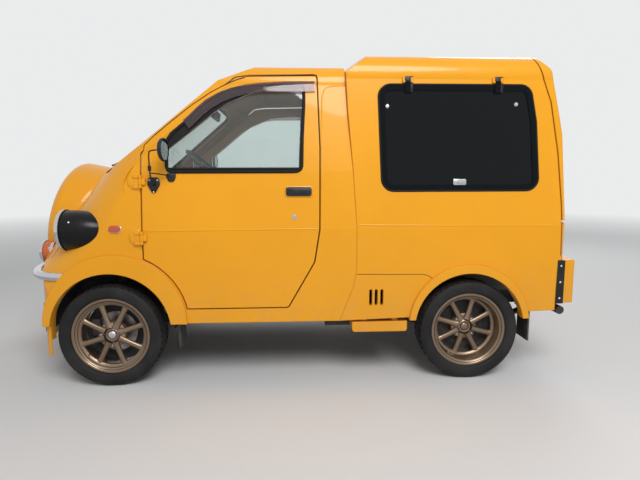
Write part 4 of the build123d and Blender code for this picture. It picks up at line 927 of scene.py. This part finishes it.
class TRUCK_OT_headlamps(bpy.types.Operator):
    """Makes the black bullet pods with their chrome rims, bowls, bulbs and glasses"""
    bl_idname = "truck.headlamps"
    bl_label = "Headlamps"

    def execute(self, context):
        spot = forward(POD_FRONT, *POD_PLACE)
        pod = [(0.0995, 0.002), (0.1000, 0), (0.1000, -0.034), (0.0985, -0.066), (0.0942, -0.098), (0.0865, -0.130),
               (0.0755, -0.160), (0.0605, -0.188), (0.0425, -0.212), (0.0225, -0.229), (0.0005, -0.235)]
        forms = (
            ("lamp_pods", pod, "pod_black", ("headlamp_pods",)),
            ("lamp_seals", [(0.0990, -0.001), (0.1025, -0.001), (0.1030, 0.001), (0.1025, 0.003), (0.0990, 0.003)],
             "seal_rubber", ()),
            ("lamp_rims", [(0.0870, 0.003), (0.0885, 0.015), (0.0930, 0.0215), (0.0985, 0.0220), (0.1030, 0.0180),
                           (0.1045, 0.0110), (0.1040, 0.003), (0.0870, 0.003)], "chrome_plate",
             ("headlamp_rims",)),
            ("lamp_bowls", [(0.0865, 0.004), (0.0800, -0.012), (0.0640, -0.028), (0.0420, -0.040), (0.0160, -0.046),
                            (0.0150, -0.052)], "chrome_plate", ()),
            ("lamp_glasses", [(0.0005, 0.0330), (0.0300, 0.0315), (0.0580, 0.0260), (0.0780, 0.0175), (0.0872, 0.0100),
                              (0.0872, 0.0070), (0.0770, 0.0135), (0.0570, 0.0220), (0.0300, 0.0275), (0.0005, 0.0290)],
             "lamp_glass", ("headlamp_lenses",)),
            ("lamp_bulbs", [(0.0005, -0.006), (0.0070, -0.009), (0.0105, -0.016), (0.0105, -0.030), (0.0070, -0.040),
                            (0.0150, -0.042), (0.0150, -0.050)], "bulb_glass", ()),
        )
        for name, profile, finish, taken in forms:
            bm = both(spun_mesh(profile, spot, 64))
            build(bm, name, "truck", finish, replaces=taken)
        bm = bmesh.new()
        for off in range(-60, 61, 12):
            tall = math.sqrt(76 ** 2 - off ** 2)
            drop = 33 - 24 * (off / 87) ** 2
            line = []
            for k in range(7):
                z = -tall + 2 * tall * k / 6
                bulge = 33 - 23 * ((off ** 2 + z * z) / 87 ** 2)
                line.append(at(POD_FRONT + min(bulge, drop) - 3.5, POD_PLACE[0] + off, POD_PLACE[1] + z))
            pipe(bm, line, 0.0012, resolution=1)
        build(both(bm), "lamp_ribs", "truck", "lamp_glass")
        bm = bmesh.new()
        a = math.radians(28)
        place_at = at(POD_FRONT - 45, POD_PLACE[0] + 99.5 * math.cos(a), POD_PLACE[1] + 99.5 * math.sin(a))
        screw(bm, facing(place_at, Vector((0, math.cos(a), math.sin(a))), Vector((1, 0, 0))), 0.0055)
        build(both(bm), "lamp_screws", "truck", "bright_bolt", 1, 30)
        return {"FINISHED"}


class TRUCK_OT_signals(bpy.types.Operator):
    """Makes the front indicators, the side markers and the tail lamp details"""
    bl_idname = "truck.signals"
    bl_label = "Signals"

    def execute(self, context):
        spot = forward(1312, 400, 670)
        forms = (
            ("indicator_lenses", [(0.0005, 0.0490), (0.0200, 0.0480), (0.0380, 0.0440), (0.0460, 0.0400),
                                  (0.0540, 0.0330), (0.0545, 0.0060), (0.0500, 0.0)], "amber_lens", ("amber_lamps",)),
            ("indicator_rims", [(0.0430, 0.0440), (0.0450, 0.0500), (0.0500, 0.0520), (0.0560, 0.0500),
                                (0.0590, 0.0440), (0.0590, 0.0340), (0.0550, 0.0330), (0.0540, 0.0400),
                                (0.0430, 0.0440)], "chrome_plate", ()),
            ("indicator_bases", [(0.0480, -0.014), (0.0500, -0.014), (0.0510, -0.004), (0.0500, 0.006),
                                 (0.0480, 0.006)],
             "chrome_plate", ()),
        )
        for name, profile, finish, taken in forms:
            build(both(spun_mesh(profile, spot, 48)), name, "truck", finish, replaces=taken)
        wall = facing(at(899, 634.0, 807), Vector((0.09, 1, 0.22)))
        for name, grow, lift, thick, finish in (("marker_bases", 3, 0.0, 0.006, "chrome_plate"),
                                                ("marker_lenses", 0, 0.004, 0.010, "marker_lens")):
            flat = [(p.x + math.copysign(grow, p.x), p.y + math.copysign(grow, p.y)) for p in oblong(29, 16.5, 16, 8)]
            bm = bmesh.new()
            sheet_from(bm, flat, shifted(wall, 0, 0, lift), thick, 0.003)
            build(both(bm), name, "truck", finish)
        bm = bmesh.new()
        block(bm, (0.006, 0.132, 0.066), moved(-1416, 520, TAIL_LAMP_Z), 0.002)
        build(both(bm), "tail_lamp_bases", "truck", "satin_black")
        for name, y, wide, finish in (("tail_lamp_red", 548, 0.068, "red_lens"),
                                      ("tail_lamp_amber", 497, 0.030, "amber_lens"),
                                      ("tail_lamp_clear", 469, 0.022, "clear_lens")):
            bm = bmesh.new()
            block(bm, (0.020, wide, 0.058), moved(-1428, y, TAIL_LAMP_Z), 0.005, 3)
            build(both(bm), name, "truck", finish, replaces=("rear_lamps",) if wide > 0.05 else ())
        bm = bmesh.new()
        for y in (472, 570):
            screw(bm, backward(-1437.2, y, TAIL_LAMP_Z), 0.004)
        build(both(bm), "tail_lamp_screws", "truck", "bright_bolt", 1, 30)
        return {"FINISHED"}


class TRUCK_OT_bumpers(bpy.types.Operator):
    """Makes the chrome tube bumpers and the screws of the rear corner strips"""
    bl_idname = "truck.bumpers"
    bl_label = "Bumpers"

    def execute(self, context):
        line = [(1168, 622), (1216, 611), (1290, 573), (1338, 524), (1376, 460), (1404, 388), (1417, 336), (1420, 308)]
        bm = bmesh.new()
        pipe(bm, [at(x, y, BUMPER_Z) for x, y in line], 0.0215, smooth=True, resolution=8)
        for x, y in (line[0], line[-1]):
            bmesh.ops.create_uvsphere(bm, u_segments=24, v_segments=16, radius=0.0212, matrix=moved(x, y, BUMPER_Z))
        build(both(bm), "tube_bumpers", "truck", "chrome_plate", 1, 50, replaces=("front_bumpers",))
        bm = bmesh.new()
        for x, y, size in ((1378, 380, (0.060, 0.036, 0.008)), (1212, 600, (0.044, 0.040, 0.008)),
                           (1352, 400, (0.012, 0.040, 0.080))):
            block(bm, size, moved(x, y, BUMPER_Z if size[2] < 0.05 else 602), 0.0025)
        build(both(bm), "bumper_stays", "truck", "chrome_plate")
        bm = bmesh.new()
        for z in (430, 515, 600):
            screw(bm, facing(at(-1346, 635.5, z), Vector((0, 1, 0))), 0.006)
        for y in (120, 260):
            screw(bm, forward(1415, y, 338), 0.006)
        both(bm)
        bmesh.ops.delete(bm, geom=[v for v in bm.verts if v.co.x > 1.3 and v.co.y < 0], context="VERTS")
        build(bm, "strip_screws", "truck", "bright_bolt", 1, 30)
        return {"FINISHED"}


class TRUCK_OT_mirrors(bpy.types.Operator):
    """Makes the door mirrors with their base plates, rods and round heads"""
    bl_idname = "truck.mirrors"
    bl_label = "Mirrors"

    def execute(self, context):
        thick = context.scene.truck_trim.rod
        for side, way in SIDES:
            bm = bmesh.new()
            head = [(0.0005, 0.010), (0.030, 0.009), (0.046, 0.005), (0.0535, -0.002), (0.0550, -0.009),
                    (0.0530, -0.014), (0.0500, -0.015)]
            oval = Matrix.Diagonal((1.0, 1.34, 1.0, 1.0))
            join(bm, spun_mesh(head, forward(636, *MIRROR_HEAD) @ oval, 56))
            plate = rounded(((0, -50), (31, 6), (25, 40), (-25, 40), (-31, 6)), 12, 4)
            wall = wall_at(706, 1018, CAB_SIDE, 0.5)
            sheet_from(bm, plate, wall, 0.006, 0.002)
            drum(bm, 0.012, 0.022, shifted(wall, 0, 0.010, 0.012), 24, 0.009, 0.002)
            foot = wall_at(622, 1062, CAB_SIDE, 0.5)
            tab = rounded(((-23, 16), (-23, -4), (-12, -26), (12, -26), (23, -4), (23, 16)), 9, 4)
            sheet_from(bm, tab, foot, 0.006, 0.002)
            arm = ((706, 640, 1026), (706, 672, 1050), (706, 680, 1110), (704, 692, 1168), (692, 704, 1184),
                   (646, *MIRROR_HEAD))
            pipe(bm, [at(*p) for p in arm], thick, smooth=True)
            pipe(bm, [at(634, 628, 1066), at(660, 652, 1074), at(706, 678, 1078)], thick * 0.85, smooth=True)
            drum(bm, 0.008, 0.024, moved(706, 680, 1100), 16, bevel=0.001)
            build(bm, f"mirror_body_{side}", f"door_{side}", "satin_black", way, replaces=(f"mirror_{side}",))
            bm = spun_mesh([(0.0005, 0.0015), (0.047, 0.0010), (0.049, -0.002)],
                           backward(624.5, *MIRROR_HEAD) @ oval, 48)
            build(bm, f"mirror_glass_{side}", f"door_{side}", "mirror_silver", way)
            bm = bmesh.new()
            for x, z in ((-0.019, 0.026), (0.019, 0.026), (0, -0.032)):
                screw(bm, shifted(wall, x, z, 0.006), 0.0045)
            build(bm, f"mirror_screws_{side}", f"door_{side}", "bright_bolt", way, 30)
        return {"FINISHED"}


def laid(near, x, z, off):
    """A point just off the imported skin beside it."""
    spot = on_side(x, z, CAB_SIDE)
    hits = [piece.closest_point_on_mesh(spot)[1] for piece in near]
    hit = min(hits, key=lambda p: (p - spot).length)
    return Vector((spot.x, hit.y, spot.z)) + side_normal(z, CAB_SIDE) * off * MM


class TRUCK_OT_panels(bpy.types.Operator):
    """Makes the pressed lines, the hinge scoops, the window band and the hatch fittings"""
    bl_idname = "truck.panels"
    bl_label = "Panel details"

    def execute(self, context):
        bead = context.scene.truck_trim.bead
        for side, way in SIDES:
            bm = bmesh.new()
            skin(bm, [along(WINDOW_SEAL[:11], CAB_SIDE, 1.6), along(WINDOW_BAND, CAB_SIDE, 1.6)])
            build(bm, f"window_band_{side}", f"door_{side}", "seal_rubber", way, 60)
            near = NODES["cab_shell"], NODES["door_left"]
            edge, inner = ([laid(near, x, z, 1.8) for x, z in line] for line in (DOOR_EDGE, DOOR_INNER))
            bm = bmesh.new()
            skin(bm, [edge, inner])
            build(bm, f"door_flange_{side}", f"door_{side}", "amber_paint", way, 60)
            # A thin black rod along the door's top edge draws the door gap: painted shade of the gap
            build(rod(edge, 0.0020), f"door_gap_painted_shade_{side}", f"door_{side}", "seal_rubber", way, 60)
            line = along(DOOR_LINE, CAB_SIDE, -9.0)
            build(rod(line, 0.0036), f"weatherstrip_{side}", "truck", "seal_rubber", way, 60)
            bm = bmesh.new()
            line = [(-112, 1000), (-112, 1420), (-118, 1470), (-132, 1494), (-160, 1504), (-230, 1506)]
            pipe(bm, along(line, CAB_SIDE, -1.0), bead, smooth=True)
            build(bm, f"pillar_bead_{side}", "truck", "amber_paint", way, 60)
            # A thin black rod along the sill seam: painted shade of the seam's groove
            bm = bmesh.new()
            line = [(-287, 570), (-470, 567), (-620, 566), (-650, 560), (-703, 525)]
            pipe(bm, along(line, BOX_SIDE, -0.6), 0.0016)
            build(bm, f"sill_seam_painted_shade_{side}", "truck", "seal_rubber", way, 60)
            hatch, truck = bmesh.new(), bmesh.new()
            for x in (-542, -993):
                low = wall_at(x, 1490, BOX_SIDE, 1.0)
                block(hatch, (0.039, 0.042, 0.006), shifted(low, 0, 0, 0.003), 0.002)
                top = wall_at(x, 1530, BOX_SIDE, 1.0)
                block(truck, (0.039, 0.034, 0.006), shifted(top, 0, 0, 0.002), 0.002)
            build(hatch, f"hatch_straps_{side}", f"side_hatch_{side}", "satin_black", way)
            build(truck, f"hatch_hinge_feet_{side}", "truck", "satin_black", way)
            bm = bmesh.new()
            for x, z in ((-435, 1402), (-1082, 1414)):
                wall = wall_at(x, z, BOX_SIDE, 1.0)
                join(bm, spun_mesh([(0.0005, 0.007), (0.007, 0.0065), (0.0105, 0.003), (0.012, 0.0)], wall, 24))
            wall = wall_at(-800, 1031, BOX_SIDE, 1.0)
            latch = oblong(33, 15, 7, 4)
            sheet_from(bm, latch, wall, 0.006, 0.002)
            join(bm, spun_mesh([(0.0005, 0.010), (0.008, 0.0095), (0.0095, 0.006)], wall, 24))
            build(bm, f"hatch_latch_{side}", f"side_hatch_{side}", "bright_bolt", way)
            bm = bmesh.new()
            for z in (765, 1038):
                scoop = rounded(((772, z - 43), (808, z - 43), (834, z - 16), (834, z + 16), (808, z + 43),
                                 (772, z + 43)), 14)
                middle = Vector((798, z))
                rows = [[on_side(*(middle + (p - middle) * grow), CAB_SIDE, out) for p in scoop]
                        for grow, out in ((1.0, -1.0), (0.96, 2.0), (0.86, 4.5), (0.6, 6.5), (0.3, 7.2), (0.04, 7.4))]
                skin(bm, rows, closed=True)
            line = [(846, 985), (857, 1017), (845, 1055), (822, 1094), (796, 1124), (776, 1144)]
            pipe(bm, along(line, CAB_SIDE, -1.5), 0.0042, smooth=True)
            build(bm, f"hinge_scoops_{side}", "truck", "amber_paint", way, 50)
            for name, table, line, body in (
                    ("box_crease", BOX_SIDE, [(-290, 820), (-800, 813), (-1330, 807)], "truck"),
                    ("door_crease", CAB_SIDE, [(750, 797), (400, 800), (-86, 803)], f"door_{side}")):
                bead_form = rod(along(line, table, -4.5), 0.0065, resolution=4)
                build(bead_form, f"{name}_{side}", body, "amber_paint", way, 60)
        return {"FINISHED"}


class TRUCK_OT_wipers(bpy.types.Operator):
    """Makes the two windscreen wipers"""
    bl_idname = "truck.wipers"
    bl_label = "Wipers"

    def execute(self, context):
        lean = math.radians(SCREEN_LEAN)
        up = Vector((-math.cos(lean), 0, math.sin(lean)))
        out = Vector((math.sin(lean), 0, math.cos(lean)))
        base = Vector(SCREEN_FOOT)

        def on_screen(y, rise, off):
            bow = SCREEN_BOW * (y / 520.0) ** 2
            return (base + up * rise + out * (off - bow) + Vector((0, y, 0))) * MM

        bm = bmesh.new()
        for foot in (-330, 120):
            post = Matrix.Translation(on_screen(foot, -18, 8)) @ Matrix.Rotation(lean, 4, "Y")
            drum(bm, 0.013, 0.022, post, 20, 0.010, 0.002)
            pipe(bm, [on_screen(foot, -18, 16), on_screen(foot + 60, 20, 20), on_screen(foot + 190, 84, 14)], 0.0042)
            blade = [on_screen(foot + 10, 66, 10), on_screen(foot + 190, 84, 11), on_screen(foot + 330, 92, 9)]
            pipe(bm, blade, 0.0045)
        build(bm, "wipers", "truck", "satin_black")
        return {"FINISHED"}


# ---------------------------------------------------------------- seats and cabin

def applied(piece):
    """Makes what the modifiers give the piece's own mesh."""
    old = piece.data
    made = bpy.data.meshes.new_from_object(piece.evaluated_get(bpy.context.evaluated_depsgraph_get()))
    piece.modifiers.clear()
    piece.data = made
    bpy.data.meshes.remove(old)


def stuffed(piece, voxel, pressure, cap, rest=None):
    """Swells a closed form like a stuffed cushion by a short cloth simulation with capped movement."""
    coarse = piece.modifiers.new("even", "REMESH")
    coarse.mode = "VOXEL"
    coarse.voxel_size = voxel
    applied(piece)
    still = [v.co.copy() for v in piece.data.vertices]
    cloth = piece.modifiers.new("swell", "CLOTH")
    cloth.settings.use_pressure = True
    cloth.settings.uniform_pressure_force = pressure
    cloth.settings.effector_weights.gravity = 0
    cloth.point_cache.frame_start = 1
    cloth.point_cache.frame_end = SWELL_STEPS
    for step in range(1, SWELL_STEPS + 1):
        bpy.context.scene.frame_set(step)
    applied(piece)
    for v, start in zip(piece.data.vertices, still):
        move = v.co - start
        if move.length > cap:
            v.co = start + move * (cap / move.length)
        if rest is not None:
            v.co.z = max(v.co.z, rest)
    bpy.context.scene.frame_set(1)
    piece.data.shade_smooth()
    soft = piece.modifiers.new("soft", "SUBSURF")
    soft.levels = soft.render_levels = 1
    applied(piece)


def cling(piece, points):
    """The points moved onto a piece's surface."""
    return [piece.closest_point_on_mesh(p)[1] for p in points]


class TRUCK_OT_seats(bpy.types.Operator):
    """Makes the two stuffed seats with piping and sewn lines"""
    bl_idname = "truck.seats"
    bl_label = "Seats"

    def execute(self, context):
        settings = context.scene.truck_seats
        taken = ("seats",)
        for side, way in SIDES:
            y = SEAT_Y * way
            forms = (("cushion", moved(265, y, 653), (0.408, 0.404, 0.078), 0.030, settings.cap, 0.6015),
                     ("back", moved(-8, y, 846, -10), (0.058, 0.404, 0.436), 0.024, settings.cap * 0.65, None))
            for name, spot, size, edge, cap, rest in forms:
                bm = bmesh.new()
                block(bm, size, Matrix(), edge, 5)
                bmesh.ops.subdivide_edges(bm, edges=[e for e in bm.edges if e.calc_length() > 0.1], cuts=9,
                                          use_grid_fill=True)
                flat = 2 if name == "cushion" else 0
                wide = [i for i in range(3) if i != flat]
                for v in bm.verts:
                    a, b = (v.co[i] / (size[i] * 0.5) for i in wide)
                    lift = (1 - a * a) * (1 - b * b)
                    v.co[flat] *= 1 + 0.10 * lift
                    pull = 1 - 0.025 * (1 - abs(a * b)) * abs(v.co[flat]) / size[flat]
                    for i in wide:
                        v.co[i] *= pull
                bm.transform(spot)
                piece = build(bm, f"seat_{name}_{side}", "truck", "seat_cloth", 1, 60, replaces=taken)
                taken = ()
                stuffed(piece, settings.voxel, settings.pressure, cap, rest)
                bm = bmesh.new()
                if name == "cushion":
                    ring = oblong(214, 212, 44, 6)
                    path = [spot @ Vector((p.x * MM, p.y * MM, 0.036)) for p in ring]
                    lines = [[spot @ Vector((x * MM, w * MM, 0.080)) for x in range(-170, 171, 20)]
                             for w in (-82, 0, 82)]
                else:
                    ring = oblong(212, 226, 44, 6)
                    path = [spot @ Vector((0.026, p.x * MM, p.y * MM)) for p in ring]
                    lines = [[spot @ Vector((0.080, w * MM, z * MM)) for z in range(-180, 181, 20)]
                             for w in (-82, 0, 82)]
                pipe(bm, cling(piece, path), 0.0042, closed=True)
                for line in lines:
                    pipe(bm, cling(piece, line), 0.0022)
                build(bm, f"seat_{name}_piping_{side}", "truck", "piping_cloth", 1, 50)
            bm = bmesh.new()
            for off in (-150, 150):
                block(bm, (0.052, 0.022, 0.090), moved(18, y + off, 646), 0.004)
                pipe(bm, [at(40, y + off, 606), at(200, y + off, 604), at(430, y + off, 604)], 0.0045)
            build(bm, f"seat_hinges_{side}", "truck", "satin_black")
        return {"FINISHED"}


class TRUCK_OT_cabin(bpy.types.Operator):
    """Makes the steering wheel, the dials, the stalks, the pedals, the gear lever and the inner mirror"""
    bl_idname = "truck.cabin"
    bl_label = "Cabin"

    def execute(self, context):
        spot = moved(600, -300, 1118, -40)
        bm = bmesh.new()
        ring = [(0.183 + 0.0115 * math.cos(a), 0.0115 * math.sin(a)) for a in (math.tau * k / 14 for k in range(15))]
        join(bm, spun_mesh(ring, spot, 72))
        join(bm, spun_mesh([(0.0005, 0.004), (0.034, 0.003), (0.042, -0.003), (0.046, -0.012), (0.044, -0.034),
                            (0.030, -0.040)], spot, 40))
        for turn in (90, 210, 330):
            wide = spot @ moved(0, 0, 0, turn, "Z")
            block(bm, (0.150, 0.030, 0.006), shifted(wide, 0.108, 0, -0.010), 0.0028, 3)
            block(bm, (0.022, 0.052, 0.008), shifted(wide, 0.168, 0, -0.006), 0.003, 3)
        build(bm, "driving_wheel", "steering_wheel", "grained_black", replaces=("steering_wheel",))
        bm = bmesh.new()
        column = shifted(spot, 0, 0, -0.075)
        for way in (-1, 1):
            pipe(bm, [column @ Vector((0, 0.020 * way, 0)), column @ Vector((0.006, 0.090 * way, 0.004)),
                      column @ Vector((0.014, 0.150 * way, 0.014))], 0.0055, smooth=True)
            block(bm, (0.014, 0.040, 0.012), shifted(column, 0.015, 0.160 * way, 0.015), 0.004, 3)
        build(bm, "column_stalks", "truck", "grained_black")
        bm = bmesh.new()
        hood = moved(772, -300, 1078, -14)
        block(bm, (0.118, 0.270, 0.082), hood, 0.020, 4)
        block(bm, (0.030, 0.200, 0.060), moved(753, 20, 985), 0.008, 3)
        build(bm, "dial_hood", "truck", "moulded_dash")
        dials, marks = bmesh.new(), bmesh.new()
        for y, r in ((0.052, 0.034), (-0.052, 0.034), (0.0, 0.020)):
            face = shifted(hood, -0.0592, y, 0.002 if r > 0.03 else -0.018) @ moved(0, 0, 0, -90)
            dial = [(0.0005, 0.0), (r * 0.9, 0.0), (r * 0.93, 0.003), (r, 0.003), (r * 1.02, -0.004)]
            join(dials, spun_mesh(dial, face, 40))
            if r > 0.03:
                for k in range(11):
                    turn = face @ moved(0, 0, 0, 24 * k - 30, "Z")
                    block(marks, (0.0050, 0.0011, 0.0006), shifted(turn, r * 0.80, 0, 0.0009))
                needle = shifted(face @ moved(0, 0, 0, 205, "Z"), r * 0.30, 0, 0.0018)
                block(marks, (r * 0.72, 0.0014, 0.0008), needle)
        build(dials, "dials", "truck", "dial_face")
        build(marks, "dial_marks", "truck", "dial_white", 1, 30)
        bm = bmesh.new()
        for y, wide, deep in ((-210, 0.046, 0.080), (-290, 0.060, 0.052), (-365, 0.060, 0.052)):
            block(bm, (deep, wide, 0.012), moved(884, y, 548, -62), 0.004, 3)
            pipe(bm, [at(890, y, 551), at(925, y, 600), at(972, y, 695), at(1006, y, 712)], 0.006, smooth=True)
        build(bm, "pedals", "truck", "satin_black")
        bm = bmesh.new()
        pipe(bm, [at(566, -20, 401), at(560, -22, 470), at(540, -24, 560), at(512, -26, 628)], 0.0065, smooth=True)
        join(bm, spun_mesh([(0.052, 0.0), (0.044, 0.016), (0.046, 0.022), (0.034, 0.036), (0.036, 0.042),
                            (0.022, 0.060), (0.008, 0.070)], moved(566, -20, 401), 32))
        join(bm, spun_mesh([(0.0005, 0.030), (0.012, 0.028), (0.020, 0.018), (0.0215, 0.006), (0.016, -0.010),
                            (0.008, -0.016)],
                           moved(510, -26, 632, -22), 32))
        pipe(bm, [at(300, 0, 604), at(310, 0, 650), at(350, 0, 690), at(470, 0, 716)], 0.009, smooth=True)
        join(bm, spun_mesh([(0.0005, 0.060), (0.009, 0.058), (0.014, 0.048), (0.0135, -0.040), (0.010, -0.048)],
                           moved(440, 0, 711, 78), 24))
        build(bm, "levers", "truck", "grained_black")
        bm = bmesh.new()
        mirror_spot = moved(498, 0, 1432, -8)
        block(bm, (0.020, 0.205, 0.056), mirror_spot, 0.009, 4)
        pipe(bm, [at(506, 0, 1444), at(512, 0, 1476), at(500, 0, 1496)], 0.006, smooth=True)
        build(bm, "inner_mirror", "truck", "grained_black")
        bm = bmesh.new()
        block(bm, (0.0015, 0.190, 0.044), shifted(mirror_spot, -0.0103, 0, 0), 0.0006, 1)
        build(bm, "inner_mirror_glass", "truck", "mirror_silver")
        return {"FINISHED"}


class TRUCK_OT_glazing(bpy.types.Operator):
    """Makes the rubber round the windscreen and the rear glass"""
    bl_idname = "truck.glazing"
    bl_label = "Screen rubber"

    def execute(self, context):
        size = context.scene.truck_trim.screen_seal
        lean = math.radians(SCREEN_LEAN)
        up = Vector((-math.cos(lean), 0, math.sin(lean)))
        ring = rounded(((-530, 45), (530, 45), (462, 690), (-462, 690)), 60, 8)
        path = [(Vector(SCREEN_FOOT) + up * p.y + Vector((0, p.x, 0))) * MM for p in ring]
        bm = rod(cling(NODES["windscreen"], path), size, closed=True)
        build(bm, "screen_rubber", "truck", "seal_rubber", 1, 60)
        ring = oblong(432, 205, 50, 8)
        path = [at(-1342 + 0.187 * p.y, p.x, 1215 + p.y * 0.983) for p in ring]
        bm = rod(cling(NODES["rear_glass"], path), size, closed=True)
        build(bm, "rear_glass_rubber", "rear_hatch", "seal_rubber", 1, 60)
        return {"FINISHED"}


class TRUCK_OT_tail(bpy.types.Operator):
    """Makes the pull of the tailgate, the lock of the hatch and the blank plate"""
    bl_idname = "truck.tail"
    bl_label = "Tail fittings"

    def execute(self, context):
        bm = bmesh.new()
        block(bm, (0.016, 0.110, 0.010), moved(-1420, 0, 825), 0.004, 3)
        block(bm, (0.010, 0.086, 0.006), moved(-1429, 0, 826), 0.002, 3)
        build(bm, "gate_handle", "tailgate", "satin_black")
        bm = bmesh.new()
        sheet_from(bm, oblong(165, 82, 12, 4), backward(-1419.5, 0, 737) @ moved(0, 0, 0, -90, "Z"), 0.0016, 0.0005)
        build(bm, "tail_plate", "tailgate", "plate_white")
        bm = bmesh.new()
        for y in (-105, 105):
            screw(bm, backward(-1421.1, y, 789), 0.005)
        build(bm, "tail_plate_screws", "tailgate", "bright_bolt", 1, 30)
        lock = [(0.0005, 0.012), (0.014, 0.0115), (0.017, 0.008), (0.018, 0.0), (0.024, -0.002)]
        build(spun_mesh(lock, backward(-1398, 0, 905), 32), "hatch_lock", "rear_hatch", "bright_bolt")
        return {"FINISHED"}


class TRUCK_OT_shields(bpy.types.Operator):
    """Makes the pressed shields behind the brakes"""
    bl_idname = "truck.shields"
    bl_label = "Brake shields"

    def execute(self, context):
        for side, way in SIDES:
            for end, x, y, body in (("front", FRONT_AXLE_X, 500, f"knuckle_{side}"),
                                    ("rear", REAR_AXLE_X, 503, "truck")):
                bm = spun_mesh([(0.056, 0.0), (0.090, 0.001), (0.096, 0.005), (0.120, 0.005), (0.126, 0.001),
                                (0.150, 0.001), (0.157, 0.006), (0.160, 0.006), (0.157, 0.0), (0.150, -0.002),
                                (0.056, -0.002), (0.056, 0.0)], moved(x, y, AXLE_Z, -90, "X"), 64)
                build(bm, f"brake_shield_{end}_{side}", body, "underside_black", way)
        return {"FINISHED"}


# ---------------------------------------------------------------- sidebar

ORDER = ("finishes", "stage", "tyres", "rims", "seals", "doors", "nose", "headlamps", "signals", "bumpers", "mirrors",
         "panels", "wipers", "seats", "cabin", "glazing", "tail", "shields")


GROUPS = {"truck_paint": TruckPaint, "truck_wheels": TruckWheels, "truck_trim": TruckTrim, "truck_seats": TruckSeats,
          "truck_stage": TruckStage}


class TRUCK_PT_sidebar(bpy.types.Panel):
    bl_idname = "TRUCK_PT_sidebar"
    bl_label = "Kei Truck"
    bl_space_type = "VIEW_3D"
    bl_region_type = "UI"
    bl_category = "Kei Truck"

    def draw(self, context):
        for group in GROUPS:
            settings = getattr(context.scene, group)
            for name in settings.__annotations__:
                self.layout.prop(settings, name)
        for name in ORDER:
            self.layout.operator("truck." + name)


CLASSES = (*GROUPS.values(), TRUCK_OT_finishes, TRUCK_OT_stage, TRUCK_OT_tyres,
           TRUCK_OT_rims, TRUCK_OT_seals, TRUCK_OT_doors, TRUCK_OT_nose, TRUCK_OT_headlamps, TRUCK_OT_signals,
           TRUCK_OT_bumpers, TRUCK_OT_mirrors, TRUCK_OT_panels, TRUCK_OT_wipers, TRUCK_OT_seats,
           TRUCK_OT_cabin, TRUCK_OT_glazing, TRUCK_OT_tail, TRUCK_OT_shields, TRUCK_PT_sidebar)


def register():
    for cls in CLASSES:
        bpy.utils.register_class(cls)
    for name, group in GROUPS.items():
        setattr(bpy.types.Scene, name, PointerProperty(type=group))


def unregister():
    for name in GROUPS:
        delattr(bpy.types.Scene, name)
    for cls in reversed(CLASSES):
        bpy.utils.unregister_class(cls)


def main():
    register()
    for name in ORDER:
        getattr(bpy.ops.truck, name)()


if __name__ == "__main__":
    main()
